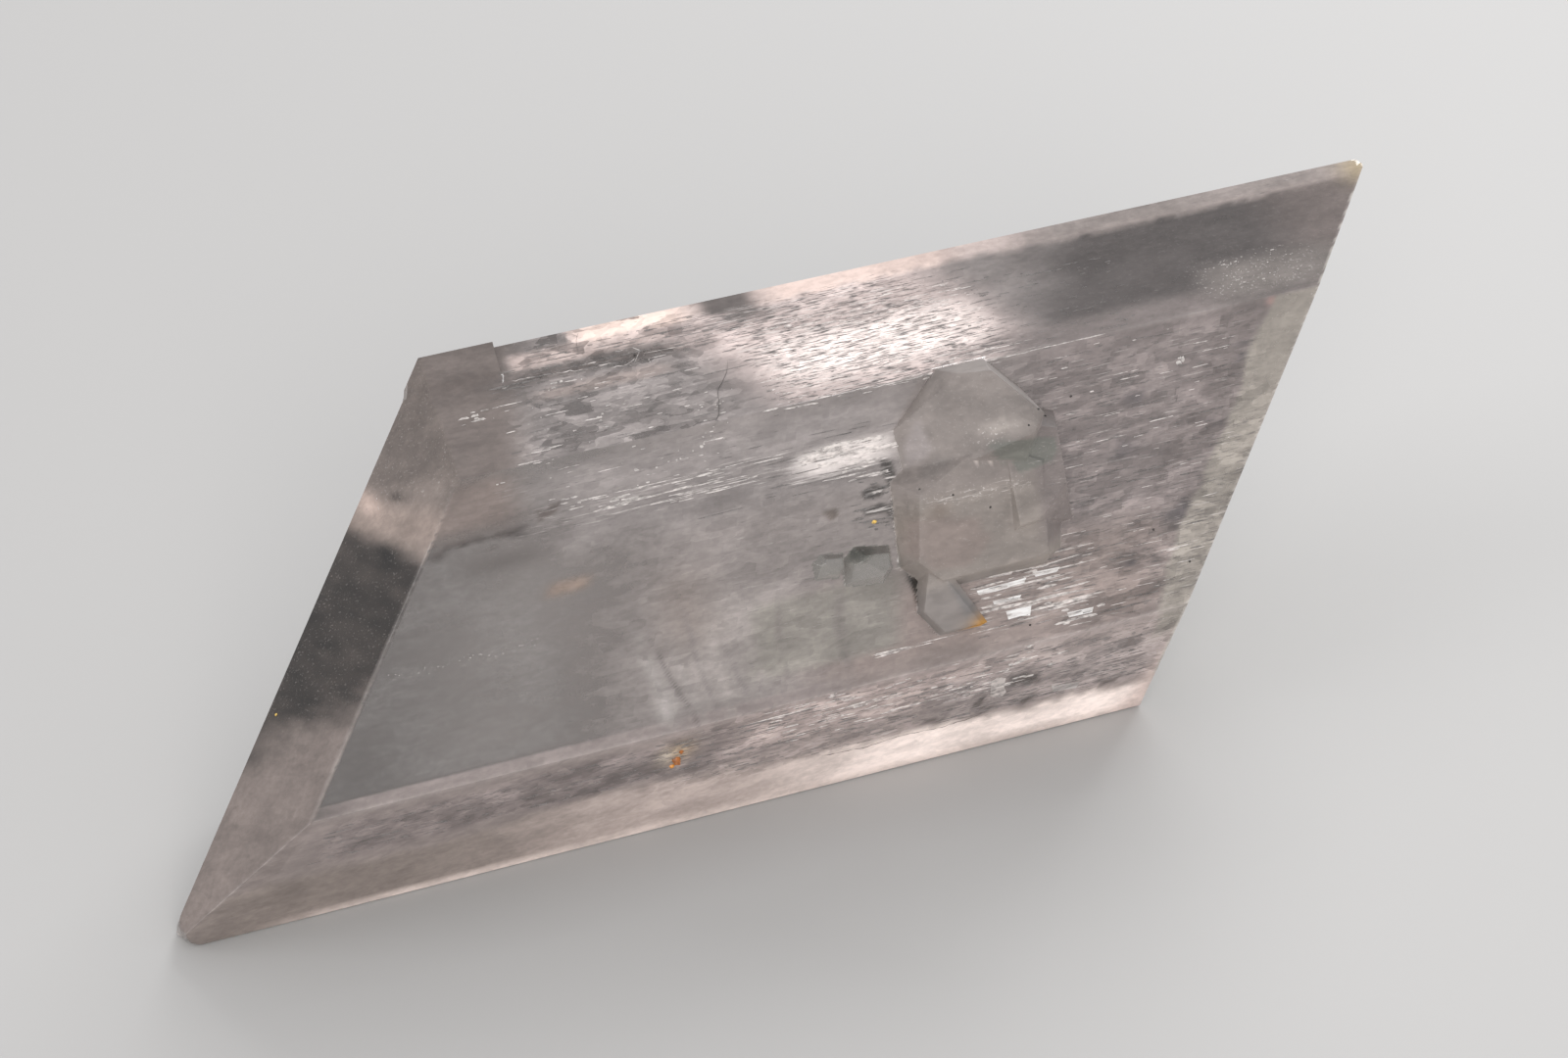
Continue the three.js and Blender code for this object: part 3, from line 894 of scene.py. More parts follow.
def paint_left_bevel(p, on):
    """Milky and warm at its top, painted dark in the middle as a reflection of darkness, and milky again
    towards the tip.
    """
    p.light = LIGHT["left"]
    inwards = np.clip(heights(p.u, p.v)[0] / FRONT_INSETS[0], 0, 1)
    p.over(on, (136, 124, 118), 0.8)
    warm = p.patch((-20, 250, 56.5, 62), (1, 2), shift_v=3 * inwards)
    p.over(on * warm, (156, 139, 130), 0.84)
    wave = 1.2 * p.noise(5, 5, 42) + 0.5 * p.noise(1.4, 1.1, 45)
    top = 1 - smoothstep(56, 58.8, p.v + 5.2 * inwards + 0.6 * wave)
    foot = smoothstep(22.4, 31, p.v - 5.6 * inwards + 1.2 * wave)
    # The dark middle is a painted reflection of darkness, mottled and streaked.
    dark_reflection_painted = on * top * foot
    p.over(on * (1 - foot), (132, 120, 115), 0.84)
    p.over(dark_reflection_painted, (71, 67, 65), 0.8)
    p.mottle(dark_reflection_painted, 0.6, 71, (4, 4), (1.3, 1.3), 0.8)
    p.streak(dark_reflection_painted, 0, 0.3, 0.12)
    p.over(on * smoothstep(62.4, 64.6, p.v), (118, 108, 103), 0.82)
    p.streak(on * smoothstep(58, 62, p.v), 0.1, 0.35, 0.2)
    p.over(p.spot((45.4, 61), (1, 1.9)), (196, 172, 160), 0.85)
    p.over(p.spot((48.4, 61.6), (0.8, 0.6)), (84, 78, 75), 0.85)


def paint_lower_bevel(p, on):
    """Milk along the ridge, painted bright and brightest to the right as the light gathering in it, with a
    mottled dark band above it.
    """
    u, v = p.u, p.v
    p.light = LIGHT["low"]
    p.over(on, (150, 138, 134), 0.8)
    p.over(on * smoothstep(60, 110, u), (164, 150, 146), 0.8)
    band = on * p.patch((24, 100, 9.6, 15.6), (6, 1.1), shift_v=0.6 * p.noise(6, 3, 46))
    p.over(band, (134, 123, 121), 0.82)
    p.streak(band, 0.35, 0.8, blocks=0.5)
    p.mottle(band, 0.3, 73, (3.5, 1.2), (1.3, 0.8))
    p.stains(LOW_STAINS)
    bright = on * p.patch((94, 136, 10.5, 16.9), (8, 1.4))
    p.over(bright, (186, 168, 163), 0.85)
    p.streak(bright, 0.55, 0.8)
    broken = on * p.patch((130, 172, 5.6, 13.5), (5, 1.4))
    p.over(broken, (166, 153, 150), 0.84)
    p.streak(broken, 0.6, 0.9)
    streaky = on * p.patch((80, 176, 6, 17), (6, 1.5))
    p.streak(streaky, 0.52, 0.7, blocks=0.5)
    p.mottle(streaky, 0.22, 75, (5, 1.3), (1.8, 0.8))
    # Real milk, painted brighter to the right and along the ridge as the light that gathers in it.
    above = v - np.interp(u, *zip(*MILK_RISE)) - 0.5 * p.noise(7, 7, 41) - 0.5 * p.noise(2.2, 1, 43)
    milky = on * (1 - smoothstep(-1, 1, above))
    for at, shown in ((0, (136, 125, 119)), (66, (188, 171, 164)), (116, (254, 233, 225))):
        p.over(milky * smoothstep(at - 24, at + 18, u), shown, 0.93)
    p.over(milky * smoothstep(1.6, 0.2, v) * smoothstep(10, 40, u), (214, 196, 188), 0.95)
    p.over(on * smoothstep(163, 169, u - v * SLANT), (214, 192, 184), 0.9)


def paint_upper_bevel(p, on):
    """Grey and broken at the left, bright fibres in the middle painted as glints, darker to the right, a pale
    strip on top.
    """
    u, v = p.u, p.v
    p.light = LIGHT["high"]
    p.over(on, (150, 142, 140), 0.66)
    corner = 1 - smoothstep(62, 70, u - 0.5 * (v - 63))
    p.over(on * corner, (121, 111, 107), 0.8)
    p.haze(on, LEAF_HAZE)
    leafed = on * (1 - smoothstep(96, 112, u)) * (1 - 0.85 * corner)
    p.streak(leafed, 0.46, 0.56, 0.18, 0.75)
    p.mottle(leafed, 0.16, 77, (4.5, 1.8), (1.6, 1))
    # The fibres here are painted bright, near white at their heart, as glints.
    fibrous = on * p.patch((107, 152, 60, 79), (8, 1.2), -0.9)
    p.over(fibrous, (212, 192, 187), 0.86)
    p.over(fibrous * p.patch((112, 150, 66, 72.5), (6, 1.5)), (255, 236, 230), 0.94)
    p.streak(fibrous, 0.8, 1, blocks=0.3)
    p.mottle(fibrous, 0.16, 79, (6, 1.1), (2, 0.7))
    dark = on * smoothstep(150, 170, u - 0.9 * (v - 70) + 2 * p.noise(6, 3, 47))
    p.over(dark, (97, 92, 91), 0.8)
    p.streak(dark, 0.18, 0.45, 0.05)
    p.over(dark * smoothstep(200, 216, u), (120, 110, 107), 0.8)
    p.haze(on, CORNER_HAZE)
    p.streak(on * p.patch((188, 210, 64.5, 70), (4, 1.5)), 0.3, 0.3, 0.6)
    ragged = HEIGHT - v + 0.25 * p.noise(3, 3, 44) + 0.15 * p.noise(0.9, 0.9, 48)
    soft = np.interp(u, [120, 165], [0.2, 0.8])
    edge = smoothstep(STRIP_DEPTH - soft, STRIP_DEPTH + soft, ragged)
    strip = on * smoothstep(82.6, 83.4, u) * (1 - edge)
    p.over(strip, (196, 178, 172), 0.94)
    p.haze(strip, STRIP_HAZE)
    p.over(strip * smoothstep(152, 172, u), (150, 140, 136), 0.9)
    p.over(p.spot((112, 77.4), (5, 1.2)), (100, 94, 92), 0.85)
    tip = (LONG_EDGE + HEIGHT * SLANT - 2, HEIGHT - 1.5)
    p.over(p.spot(tip, (4, 2.4)), (178, 160, 128), 0.9)


def paint_right_edge(p, on, light):
    """Pale greenish frost along the right edge, with a ragged inner side."""
    u, v = p.u, p.v
    # On the bevel itself the colour makes up for part of its shading: painted light where it gets less light.
    p.light = light**BACK_SHADE_PAINTED_OUT
    p.over(on, (204, 198, 189), 0.58)
    p.streak(on, 0.4, 0.4)
    p.mottle(on, 0.07, 81, (6, 6))
    p.light = LIGHT["broad"]
    ragged = 0.9 * lattice_noise(v / 7, u / 60, 51) + 0.5 * lattice_noise(v / 2, u / 9, 52)
    band = 1 - smoothstep(-0.7, 0.7, heights(u, v)[1] - np.interp(v, *zip(*FROST_REACH)) - ragged)
    band = band * ~on * smoothstep(11, 15, v) * (1 - smoothstep(62.8, 63.4, v))
    p.over(band, (160, 152, 143), 0.85)
    p.mottle(band, 0.08, 82, (6, 4))
    p.matt(np.maximum(band, on), 0.5)


def paint_breaks(p):
    """The ragged dark breaks among the fibres."""
    shift_u, shift_v = 1.1 * p.noise(1.6, 0.7, 53), 0.45 * p.noise(1.1, 0.8, 54)
    for corners in DARK_BREAKS:
        here = p.polygon(corners, 0.45, shift_u, shift_v)
        p.over(here, (112, 103, 100), 0.78)
        p.streak(here, 0.5, 0.7)


def paint_edges(p):
    """The worn edges between the front faces: lighter for their wear, and painted lighter still as an edge
    highlight.
    """
    levels = [h * (FRONT / inset) for h, inset in zip(heights(p.u, p.v), FRONT_INSETS)]
    levels = np.sort(np.stack([*levels, np.full(len(p.u), FRONT)]), axis=0)
    near = 1 - smoothstep(0.15, 0.45, levels[1] - levels[0])
    near = near * (1 - smoothstep(56, 63, p.v) * (p.u < 120))
    ragged = 0.35 + 0.65 * smoothstep(-0.5, 0.5, p.noise(11, 11, 49) + 0.3)
    p.light = LIGHT["broad"]
    # Worn edges with a painted edge highlight.
    p.over(near * ragged * 0.28, (190, 180, 176), 0.8)


# ---- What the back, the veil and the clump show ----------------------------------------------------------
def paint_back(u, v, light):
    """Thin haze and fibres, and a rubbed resting bevel."""
    on_left, on_right, on_low, on_high = on_sides(u, v, BACK_INSETS)
    p = Paint(u, v)
    # The colour makes up for part of the shading: painted light where the back gets less light, painted shade
    # where it gets more.
    p.light = light**BACK_SHADE_PAINTED_OUT
    p.over(p.whole, (172, 164, 161), 0.24)
    p.haze(1, [((60, 130, 20, 55), (20, 10), 0, (188, 178, 174), 0.36)])
    p.over(on_right, (212, 206, 197), 0.52)
    p.over(on_left, (184, 177, 172), 0.4)
    p.over(on_low, (198, 188, 183), 0.62)
    p.over(on_high, (186, 179, 175), 0.36)
    p.over(on_high * (1 - smoothstep(0.5, 5, HEIGHT - v)), (206, 192, 186), 0.66)
    p.haze(on_high, [((100, 160, 60, 82), (14, 4), 0, (196, 184, 178), 0.55)])
    p.streak(p.whole, 0.45, 0.45)
    p.streak(on_high | on_low, 0.5, 0.5)
    p.mottle(p.whole, 0.06, 83, (14, 5), (5, 2))
    p.matt(on_right | on_low, 0.5)
    return p


def paint_veil(u, v):
    """Soft clouds some way below the broad face, with a few upright folds."""
    p = Paint(u, v, sealed_colour)
    p.over(p.whole, (170, 162, 160), 0.06)
    p.haze(1, [
        ((45, 190, 20, 62), (22, 9), 0, (176, 168, 165), 0.16),
        ((83, 86, 20, 37), (2.2, 5), -0.22, (205, 198, 196), 0.32),
        ((93, 96.5, 12, 28), (2.4, 5), -0.15, (205, 196, 192), 0.3),
    ])
    p.streak(p.patch((60, 135, 44, 62), (16, 5)), 0.5, 0.4)
    return p


# Milk on the clump: range, softness, lean, tone and opacity.
CLUMP_HAZE = [
    ((118, 160, 28, 44.5), (2, 1.5), 0, (155, 145, 138), 0.86),
    ((148.5, 160, 33, 54), (1.5, 1.5), 0, (144, 133, 130), 0.8),
]
CLUMP_STAINS = [
    ((128.5, 40), (3, 2.5), (156, 142, 131), 0.88),
    ((131.5, 42), (1.6, 1.6), (142, 128, 118), 0.85),
]
RHOMB_HAZE = [((124, 141, 15, 30), (0.5, 1.5), 0, (146, 138, 134), 0.78)]
# Faces of the clump painted lighter or darker as the shading of its facets, a dark seam among them: corners,
# tone and opacity.
CLUMP_FACET_SHADING = [
    ([(129.6, 53.6), (131.7, 57), (132.9, 51.9), (132.1, 50.5), (129.2, 49.6)], (164, 154, 152), 0.88),
    ([(130.5, 49), (132.8, 50.4), (135.6, 49.9), (133.9, 48.4), (130.3, 47.4)], (133, 125, 121), 0.88),
    ([(127, 41.6), (137.5, 40), (139.4, 35.8), (135.7, 32.4), (128.9, 33.1), (125.9, 36.3)],
     (157, 142, 135), 0.86),
    ([(131.5, 30.7), (135.8, 25.5), (133.7, 24), (132.6, 27.7)], (131, 127, 126), 0.8),
    ([(116.6, 37.2), (117.2, 38.9), (119.4, 38.8), (121, 38.1), (118.3, 36.9)], (108, 109, 103), 0.7),
]
# A darker grey patch on the upper small crystal.
DARK_CLUMP_PATCH = [
    (140.6, 51.2), (144.6, 51.1), (149.5, 50.5), (153.5, 49.5), (153.4, 47.3), (152.3, 46),
    (149.1, 45.7), (145.7, 45.3), (144.5, 47.7), (142.7, 48), (140.8, 49.8),
]
CLUMP_FIBRES = [
    ((125, 160, 28, 64), (2, 2), 0.2, 0.22, 0.12),
    ((148, 160, 33, 54), (2, 2), 0.45, 0.6),
    ((129, 147, 42.8, 44.8), (2, 0.6), 0.8, 0.6, 0.8),
]


def paint_clump(u, v, light):
    """Frosted small crystals, with a dark patch on the upper one, dark gems and a rusty tip."""
    p = Paint(u, v)
    # The colour makes up for most of the facets' shading: painted light on those facing away from the lamps,
    # painted shade on those facing them.
    p.light = LIGHT["clump"] * light**CLUMP_SHADE_PAINTED_OUT
    p.over(p.whole, (149, 139, 134), 0.84)
    p.haze(1, CLUMP_HAZE)
    p.stains(CLUMP_STAINS)
    p.haze(1, RHOMB_HAZE)
    gems = p.patch((106, 125.4, 30.5, 41), (0.3, 0.3))
    p.over(gems, (160, 158, 150), 0.36)
    # The facets' shading, painted on.
    for corners, shown, opacity in CLUMP_FACET_SHADING:
        p.over(p.polygon(corners, 0.6), shown, opacity)
    p.over(p.spot((142.5, 53.6), (3, 1.3)), (186, 175, 168), 0.93)
    p.over(p.polygon(DARK_CLUMP_PATCH), (129, 129, 122), 0.86)
    p.over(1.4 * p.spot((137.4, 22.6), (2.6, 1.6)), (196, 138, 28), 0.97)
    p.fibres(1, CLUMP_FIBRES)
    p.streak(p.spot((141, 52.6), (3, 1.6)), 0.5, 0.3, 1)
    p.streak(gems, 0.2, 0.3, 0.2)
    p.mottle(p.whole, 0.05, 85, (5, 3), (1.6, 1.2))
    p.matt(1 - gems, 1.5)
    return p


def paint_body(plate):
    """Paints the finished plate: front, back and clump, each by where its points lie."""
    mesh = plate.data
    points, normals = np.zeros((2, len(mesh.vertices) * 3))
    mesh.vertices.foreach_get("co", points)
    mesh.vertex_normals.foreach_get("vector", normals)
    to_plate = np.array(TO_PART.inverted())
    u, v, w = (points.reshape(-1, 3) @ to_plate[:3, :3].T + to_plate[:3, 3]).T
    normals = normals.reshape(-1, 3)
    # The paint divides by this light where it evens out shading: painted light on shaded facets and painted
    # shade on lit ones.
    light = light_on(normals)
    proud = w - front_height(u, v)
    at_foot = (normals @ BROAD_NORMAL < FOOT_TURNS) & (proud > -CLUMP_LEAST) & (v < FOOT_TOP)
    u0, u1, v0, v1 = CLUMP_RANGE
    on_clump = ((proud > CLUMP_LEAST) | at_foot) & (u > u0) & (u < u1) & (v > v0) & (v < v1)
    paint = paint_front(u, v, light)
    for mask, other in ((w < BACK_BELOW, paint_back(u, v, light)), (on_clump, paint_clump(u, v, light))):
        for part in ("milk", "streaks", "frost"):
            getattr(paint, part)[mask] = getattr(other, part)[mask]
    paint.store(mesh)


# ---- Sealed pieces: veil, flakes, fibres, breaks and specks ----------------------------------------------
def sealed(*about, **more):
    """A mesh object of the crystal's own body, from what mesh_object takes."""
    made = mesh_object(*about, **more)
    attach(made, "root")
    return made


def deep_veil():
    """A wavy painted sheet, VEIL_LEVEL above the ridge's plane."""
    steps = [np.linspace(0, 1, n + 1) for n in VEIL_CELLS]
    s, t = [at.reshape(-1, 1) for at in np.meshgrid(*steps, indexing="ij")]
    places = blend(rhomb(VEIL_MARGIN, VEIL_MARGIN, VEIL_MARGIN, 0), s, t)
    u, v = places[:, 0], places[:, 1]
    places[:, 2] = VEIL_LEVEL + 1.2 * lattice_noise(u / 37, v / 23, 55)
    ids = np.arange(len(places)).reshape(VEIL_CELLS[0] + 1, VEIL_CELLS[1] + 1)
    quads = np.stack([ids[:-1, :-1], ids[1:, :-1], ids[1:, 1:], ids[:-1, 1:]], axis=-1).reshape(-1, 4)
    made = sealed("deep_veil", veil(), places, quads.tolist())
    paint_veil(u, v).store(made.data)
    made.data.polygons.foreach_set("use_smooth", [True] * len(quads))


def flakes(name, material, groups, seed):
    """Thin six-sided flakes, scattered by groups. Those that would stick out of the crystal are left out."""
    rng = np.random.RandomState(seed)
    points = []
    for u0, u1, v0, v1, count, length, width, tilt, *depths in groups:
        u, v = rng.uniform(u0, u1, count), rng.uniform(v0, v1, count)
        u += (v - (v0 + v1) / 2) * 0.35 * SLANT
        long = length * np.exp(rng.normal(0, 0.7, count))
        wide = width * np.exp(rng.normal(0, 0.35, count))
        roll, yaw = np.radians(rng.normal(0, tilt, count)), np.radians(rng.normal(0, 0.9, count))
        pitch = np.radians(rng.normal(0, tilt * 0.25, count))
        depth = rng.uniform(*(depths or ON_SURFACE), count)
        w = np.where(depth > 0, front_height(u, v, SEALED_BELOW), front_height(u, v, -SCALE_RISE)) - depth
        ahead = np.stack([np.cos(yaw) * np.cos(pitch), np.sin(yaw), np.sin(pitch)], axis=1)
        across = np.stack([-np.sin(yaw), np.cos(roll) * np.cos(yaw), np.sin(roll)], axis=1)
        centre = np.stack([u, v, w], axis=1)
        for k in range(count):
            ends = u[k] + np.array([-0.8, 0.8]) * long[k]
            outside = min(np.min(side) for side in heights(ends, v[k])) < FLAKE_MARGIN
            outside = outside or np.ptp(front_height(ends, np.full(2, v[k]))) > STEEPEST
            if outside or (depth[k] > 0 and w[k] < -rise(u[k], v[k], BACK, BACK_INSETS, 1)):
                continue
            a, b = ahead[k] * long[k] / 2, across[k] * wide[k] / 2
            skew = rng.uniform(0.3, 0.9, 4)
            points += [centre[k] - a, centre[k] - a * skew[0] - b, centre[k] + a * skew[1] - b]
            points += [centre[k] + a, centre[k] + a * skew[2] + b, centre[k] - a * skew[3] + b]
    sealed(name, material, points, np.arange(len(points)).reshape(-1, 6).tolist())


def ribbons(name, material, lines, seed):
    """Ribbons along lines of (u, v) points: each line is (points, width, depth, how upright from 0 to 1)."""
    rng = np.random.RandomState(seed)
    points, faces = [], []
    for places, width, depth, upright in lines:
        places = np.array(places, float)
        steps = np.concatenate([[0], np.cumsum(np.hypot(*np.diff(places, axis=0).T))])
        at = np.arange(0, steps[-1] + RIBBON_STEP / 2, RIBBON_STEP)
        u, v = np.interp(at, steps, places[:, 0]), np.interp(at, steps, places[:, 1])
        ahead = np.stack([np.gradient(u), np.gradient(v)], axis=1)
        ahead /= np.linalg.norm(ahead, axis=1)[:, None]
        side = np.stack([-ahead[:, 1], ahead[:, 0]], axis=1)
        mid = np.stack([u, v], axis=1) + side * rng.normal(0, 0.035, len(u))[:, None]
        taper = np.minimum(1, np.minimum(at, at[-1] - at) / 1.5 + 0.1)
        wide = (width * rng.uniform(0.35, 1, len(u)) * taper)[:, None]
        w = front_height(mid[:, 0], mid[:, 1], -SCALE_RISE) - depth
        flat, drop = side * wide / 2 * (1 - upright), wide[:, 0] * upright
        start = len(points)
        for k in range(len(u)):
            points += [(*(mid[k] - flat[k]), w[k]), (*(mid[k] + flat[k]), w[k] - drop[k])]
        faces += [[k, k + 2, k + 3, k + 1] for k in range(start, len(points) - 2, 2)]
    sealed(name, material, points, faces)


def shards(name, material, outlines):
    """Flat broken plates: each is (corners, then the depth and the tilts along u and v unless they are 0)."""
    points, faces = [], []
    for corners, *set_in in outlines:
        depth, tilt_u, tilt_v = set_in or (0, 0, 0)
        u, v = np.array(corners, float).T
        w = front_height(u, v, -SCALE_RISE) - depth + tilt_u * (u - u.mean()) + tilt_v * (v - v.mean())
        faces.append(list(range(len(points), len(points) + len(corners))))
        points += list(zip(u, v, w))
    sealed(name, material, points, faces)


def lumps(name, material, places, seed):
    """Small rounded irregular grains: each is (u, v, depth, size along, up and out)."""
    rng = np.random.RandomState(seed)
    whole = bmesh.new()
    for u, v, depth, *size in places:
        centre = Vector((u, v, front_height(u, v) - depth))
        made = bmesh.ops.create_icosphere(whole, subdivisions=2, radius=0.5)
        for vert in made["verts"]:
            bumpy = 1 + rng.normal(0, 0.1)
            vert.co = vert.co * Vector(size) * bumpy + centre
    sealed(name, material, found=whole)


# Groups of flakes: u range, v range, count, length, width, tilt, and the depth range of sealed ones.
# Bright fibres, painted bright as glints.
BRIGHT_FIBRES = [
    (98, 127, 50.5, 56, 90, 5.5, 0.2, 12, 0.2, 3.5),
    (112, 127, 52.6, 55.6, 34, 4.5, 0.34, 6),
    (118, 125, 49.4, 52.2, 16, 3.2, 0.26, 6),
    (76, 108, 52.4, 56, 40, 4, 0.15, 8),
    (138, 155, 21, 31, 44, 4.4, 0.24, 5),
    (152, 160, 18.5, 22.5, 12, 2.4, 0.22, 8),
    (108, 150, 62.5, 76, 240, 1.8, 0.14, 6),
    (98, 146, 10, 17, 110, 2.2, 0.14, 6),
    (150, 185, 24, 60, 90, 4.2, 0.2, 14, 0.5, 9),
    (150, 188, 20, 62, 90, 2, 0.11, 6),
    (66, 100, 57, 77, 40, 1.8, 0.13, 6),
    (118, 130, 20.8, 21.6, 14, 3, 0.14, 4),
]
# Dark fibres: tiny cracks painted dark as reflections of darkness.
DARK_FIBRES = [
    (108, 152, 62, 77, 380, 1.3, 0.1, 6),
    (95, 168, 6.5, 16.5, 260, 1.6, 0.13, 6),
    (24, 98, 9.8, 15.6, 190, 1.2, 0.11, 6),
    (70, 106, 74, 79, 90, 2.2, 0.16, 6),
    (66, 108, 64, 75, 50, 2, 0.16, 6),
    (140, 178, 24, 60, 90, 3.2, 0.16, 14, 0.4, 5),
    (142, 188, 18, 62, 220, 2.2, 0.13, 6),
    (119, 127, 41, 49.5, 30, 1.4, 0.24, 8),
    (96, 128, 49, 58, 40, 3, 0.13, 6),
    (136, 158, 20, 32, 30, 2.2, 0.16, 6),
    (150, 176, 60, 75, 120, 1.2, 0.12, 6),
]
# Small breaks painted bright as sparkling glints, more scattered and less long than the fibres.
SPARKLES = [
    (59, 66, 70.3, 72.2, 9, 1.3, 0.35, 8),
    (76, 80, 72.6, 74, 5, 0.9, 0.28, 10),
    (81, 84, 66, 70, 7, 0.6, 0.22, 16),
    (84, 97, 55.6, 60.5, 22, 0.75, 0.22, 12),
    (70, 76, 55, 57, 10, 0.9, 0.26, 10),
    (79, 83, 54, 55.2, 6, 1.3, 0.3, 8),
    (96, 101, 60, 66, 18, 0.5, 0.2, 18),
    (179.4, 181, 56, 57, 5, 0.8, 0.4, 10),
    (193, 207, 65.5, 70, 30, 0.25, 0.14, 20),
    (38, 64, 35.2, 36.6, 26, 0.13, 0.07, 20),
    (136, 152, 11, 14.5, 14, 0.7, 0.25, 16),
    (62, 104, 58, 74, 26, 0.45, 0.12, 20),
    (45, 46.6, 60, 62.4, 14, 0.35, 0.2, 20),
]
# Cracks, painted dark as reflections of darkness in them.
CRACKS = [
    ([(85.2, 79.9), (84, 78.4), (83.4, 76.6)], 0.5, 0.1, 0.5),
    ([(106, 71.4), (104.6, 69.4), (102, 67.5), (100.5, 64.6), (97.4, 61.8)], 0.9, 0.1, 0.4),
    ([(111, 5.9), (119, 5.5), (125, 6), (133, 5.6), (140, 6.2)], 0.6, 0.1, 0.5),
    ([(70.5, 76.4), (77, 76), (83.5, 75.6), (90.8, 74.1)], 0.35, 0.1, 0.5),
    ([(136.5, 14.6), (139.4, 9.4), (143, 6)], 0.6, 0.2, 0.5),
    ([(63, 77), (71.2, 76.9)], 0.3, 0.1, 0.5),
]
# Bright lines along steps and edges, painted as glints.
LIGHT_EDGES = [
    ([(84.3, 74.2), (90, 73.8), (92, 74.6)], 0.35, 0.1, 0.2),
    ([(92, 76.3), (93.3, 75.4), (91.2, 73.9)], 0.4, 0.1, 0.2),
    ([(71, 75.2), (83, 74.6)], 0.35, 0.1, 0.2),
    ([(78.5, 71.6), (96, 71)], 0.3, 0.2, 0.2),
    ([(96, 68.8), (104, 69)], 0.35, 0.2, 0.2),
    ([(126, 63), (150, 63.15), (168, 63.2)], 0.22, 0.02, 0.2),
    ([(66, 55.2), (73, 56.4)], 0.3, 0.2, 0.2),
]
# Flat plates painted bright as flashes of reflected light: painted reflections.
FLASHES = [
    ([(139.6, 31.6), (144.4, 31.7), (147.6, 31.3), (146.2, 30.6), (142.4, 30.7), (139.4, 30.6)],),
    ([(137.8, 27.6), (142, 27.7), (146.8, 27.8), (146.2, 27), (141, 26.8), (138, 26.9)],),
    ([(142.2, 23.3), (146.8, 23.2), (146.3, 21.7), (144.6, 22), (142.4, 21.9)],),
    ([(148, 28.4), (153, 28.2), (152.2, 27.5), (148.4, 27.6)],),
    ([(140.2, 25.4), (145.4, 25.3), (145, 24.8), (140.4, 24.8)],),
    ([(152.8, 20.7), (157.6, 20.6), (157.2, 19.8), (153, 19.9)],),
    ([(117, 54.6), (126.2, 55.3), (126.6, 53.9), (121.6, 53.2), (117.4, 53.5)], 0.3, 0, 0.1),
    ([(60, 71.9), (63.2, 71.2), (65.4, 70.6), (64, 70.2), (60.6, 71)], 0.2, 0.05, 0),
]
PALE_PLATES = [
    ([(84, 76.4), (92.3, 76.4), (93.2, 75.5), (91.2, 74), (84.6, 74.3)], 0.5, 0.02, 0.1),
    ([(71, 76.7), (82.6, 76.2), (82.2, 75.1), (71.2, 75.4)], 0.5, 0.02, 0.1),
    ([(79.5, 73.4), (92.5, 72.9), (91, 71.5), (79.8, 71.8)], 0.7, -0.03, 0.1),
    ([(94, 70.9), (105.2, 71.2), (102.6, 68.4), (95.4, 68.6)], 0.7, 0.02, 0.1),
    ([(84.5, 69.4), (100, 69.6), (98.5, 66.2), (85.5, 66.4)], 1.2, 0.02, 0.1),
    ([(152, 8.2), (157.4, 7.6), (157, 6.6), (152.6, 7)],),
    ([(66.8, 69), (76.5, 69.2), (74, 64), (66, 64.2)], 1.4, 0.03, 0),
]
RHOMB = [
    (139.9, 12), (141, 12.5), (142.5, 11.9), (142.7, 10.3),
    (143.4, 9.2), (142.7, 8.2), (140.7, 8.4), (140.3, 10.2),
]
# Black specks: place and height above the front face. Six are on the clump.
BLACK_SPECKS = [
    (153.9, 52.7, 2.2), (147.8, 55.5, 13), (146.2, 53.2, 11.9), (134, 44.3, 5.8), (129, 46.2, 4.7),
    (140.1, 41, 5.6), (160, 54.6, 0.05), (176, 24, 0.05), (170.5, 30.5, 0.05), (146, 20.2, 0.05),
    (92, 75, 0.05),
]
# Iron and yellow grains: place, depth, and size along, up and out.
IRON = [(84.1, 12.2, 0.05, 1.5, 2.3, 0.8), (84.7, 13.4, 0.05, 0.7, 0.9, 0.5)]
ORANGE = [(83.6, 11.1, 0, 0.9, 0.7, 0.5)]
YELLOW = [(122.4, 42.2, 0, 1, 0.7, 0.4), (24.4, 32.3, 0, 0.45, 0.45, 0.3)]


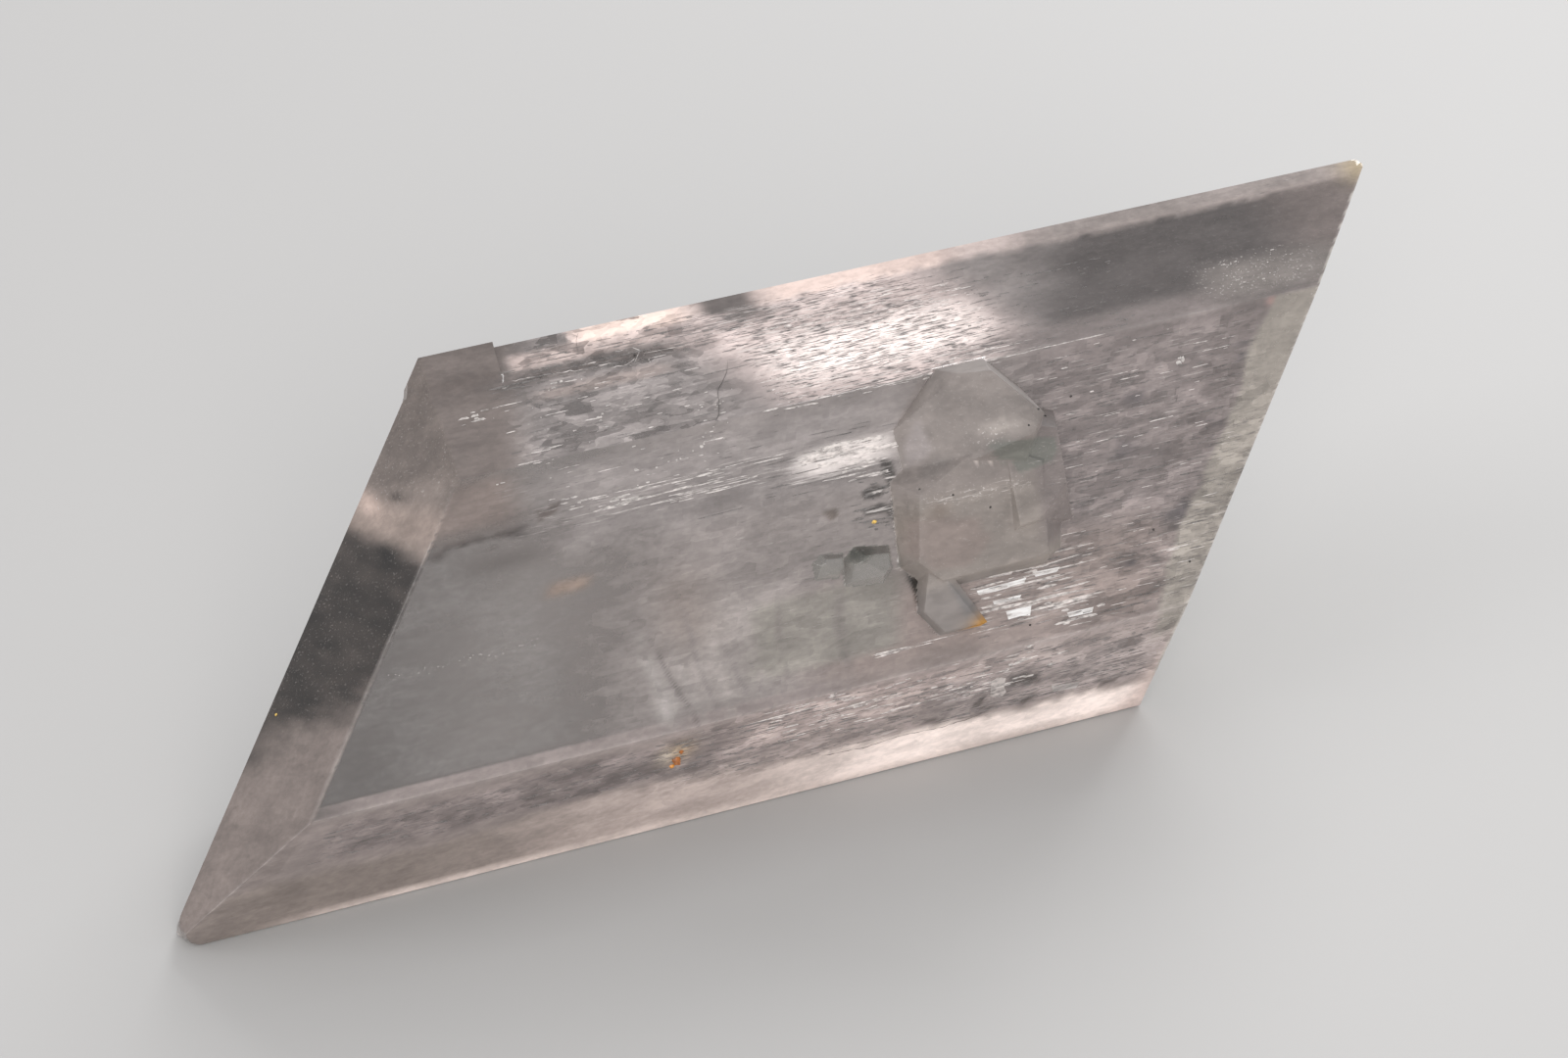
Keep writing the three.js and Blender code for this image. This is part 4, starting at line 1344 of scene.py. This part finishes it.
def sealed_pieces():
    """Everything that is in the crystal or lies on it, each as its own piece."""
    deep_veil()
    # Bright fibres, sparkles, light edges and flashes are painted highlights; dark fibres and cracks are
    # painted dark reflections.
    bright = plain("bright_fibre", (0.7, 0.66, 0.64), 0.35, opacity=0.62)
    dark = plain("dark_fibre", (0.19, 0.18, 0.176), 0.4, opacity=0.55)
    flakes("bright_fibres", bright, BRIGHT_FIBRES, 71)
    flakes("dark_fibres", dark, DARK_FIBRES, 72)
    flakes("sparkles", plain("sparkle", (0.6, 0.57, 0.55), 0.3, opacity=0.65), SPARKLES, 73)
    ribbons("cracks", plain("crack", (0.1, 0.095, 0.09), 0.4, opacity=0.8), CRACKS, 74)
    ribbons("light_edges", bright, LIGHT_EDGES, 75)
    shards("flashes", plain("flash", (0.86, 0.81, 0.79), 0.35, (4, 0.45, 0.45), 1), FLASHES)
    shards("pale_plates", plain("pale_plate", (0.62, 0.6, 0.585), 0.4, (4, 0.7, 0.7), 0.5), PALE_PLATES)
    pale = plain("pale_rhomb", (0.6, 0.55, 0.53), 0.4, (2, 1, 1), 0.9)
    shards("pale_rhomb", pale, [(RHOMB, 0, 0.02, 0.06)])
    black = [(u, v, -up, 0.4, 0.35, 0.3) for u, v, up in BLACK_SPECKS]
    lumps("black_specks", plain("black_speck", (0.02, 0.018, 0.016)), black, 76)
    lumps("iron_speck", plain("rust", (0.26, 0.085, 0.016), 0.5, (0.8, 0.8, 0.8)), IRON, 77)
    lumps("orange_iron", plain("orange_iron", (0.55, 0.22, 0.03), 0.5, (0.8, 0.8, 0.8)), ORANGE, 79)
    lumps("yellow_grains", plain("yellow_grain", (0.6, 0.4, 0.1), 0.5, (0.6, 0.6, 0.6)), YELLOW, 78)


# ---- Assembly --------------------------------------------------------------------------------------------
def floor_object():
    material = bpy.data.materials.new("floor")
    material.use_nodes = True
    shader = material.node_tree.nodes["Principled BSDF"]
    shader.inputs["Base Color"].default_value = FLOOR_COLOUR
    shader.inputs["Roughness"].default_value = 0.6
    mesh = bpy.data.meshes.new("floor")
    corners = [(x * FLOOR_HALF, y * FLOOR_HALF, 0) for x, y in ((-1, -1), (1, -1), (1, 1), (-1, 1))]
    mesh.from_pydata(corners, [], [(0, 1, 2, 3)])
    mesh.materials.append(material)
    floor = placed("floor", mesh)
    floor.location.z = FLOOR_LOW


def lamp_object(name, place, watts, colour):
    data = bpy.data.lights.new(name, "AREA")
    data.shape = "SQUARE"
    data.size = LAMP_SIDE
    data.energy = watts
    data.color = colour
    lamp = placed(name, data)
    lamp.location = place
    lamp.rotation_mode = "QUATERNION"
    lamp.rotation_quaternion = (Vector(LAMPS_AIM_AT) - Vector(place)).to_track_quat("-Z", "Y")


def camera_object():
    """The camera at the photo's viewing angle."""
    azimuth, elevation, roll = [math.radians(a) for a in (CAMERA_AZIMUTH, CAMERA_ELEVATION, CAMERA_ROLL)]
    level = math.cos(elevation)
    away = Vector((math.sin(azimuth) * level, -math.cos(azimuth) * level, math.sin(elevation)))
    right = Vector((math.cos(azimuth), math.sin(azimuth), 0))
    up = away.cross(right)
    right, up = right * math.cos(roll) + up * math.sin(roll), up * math.cos(roll) - right * math.sin(roll)
    data = bpy.data.cameras.new("camera")
    data.sensor_width = CAMERA_SENSOR
    data.lens = CAMERA_LENS
    data.clip_start, data.clip_end = 0.01, 50
    camera = placed("camera", data)
    turned = Matrix((right, up, away)).transposed().to_4x4()
    camera.matrix_world = Matrix.Translation(Vector(CAMERA_TARGET) + away * CAMERA_DISTANCE) @ turned
    bpy.context.scene.camera = camera


def studio():
    """Soft lamps round a pale world, and enough light bounces to see through the crystal."""
    scene = bpy.context.scene
    scene.world = bpy.data.worlds.new("studio")
    scene.world.use_nodes = True
    scene.world.node_tree.nodes["Background"].inputs["Color"].default_value = WORLD_COLOUR
    for lamp in LAMPS:
        lamp_object(*lamp)
    scene.view_settings.view_transform = "Standard"
    scene.cycles.transparent_max_bounces = 24
    scene.cycles.diffuse_bounces = 6
    scene.cycles.glossy_bounces = 8
    scene.cycles.max_bounces = 16


stone = selenite()
points, faces = body_shell()
plate = joined(mesh_object("selenite_plate", stone, shape_body(points), faces), clump_object(stone))
paint_body(plate)
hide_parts("selenite_crystal")
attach(plate, "root")
sealed_pieces()
floor_object()
camera_object()
studio()
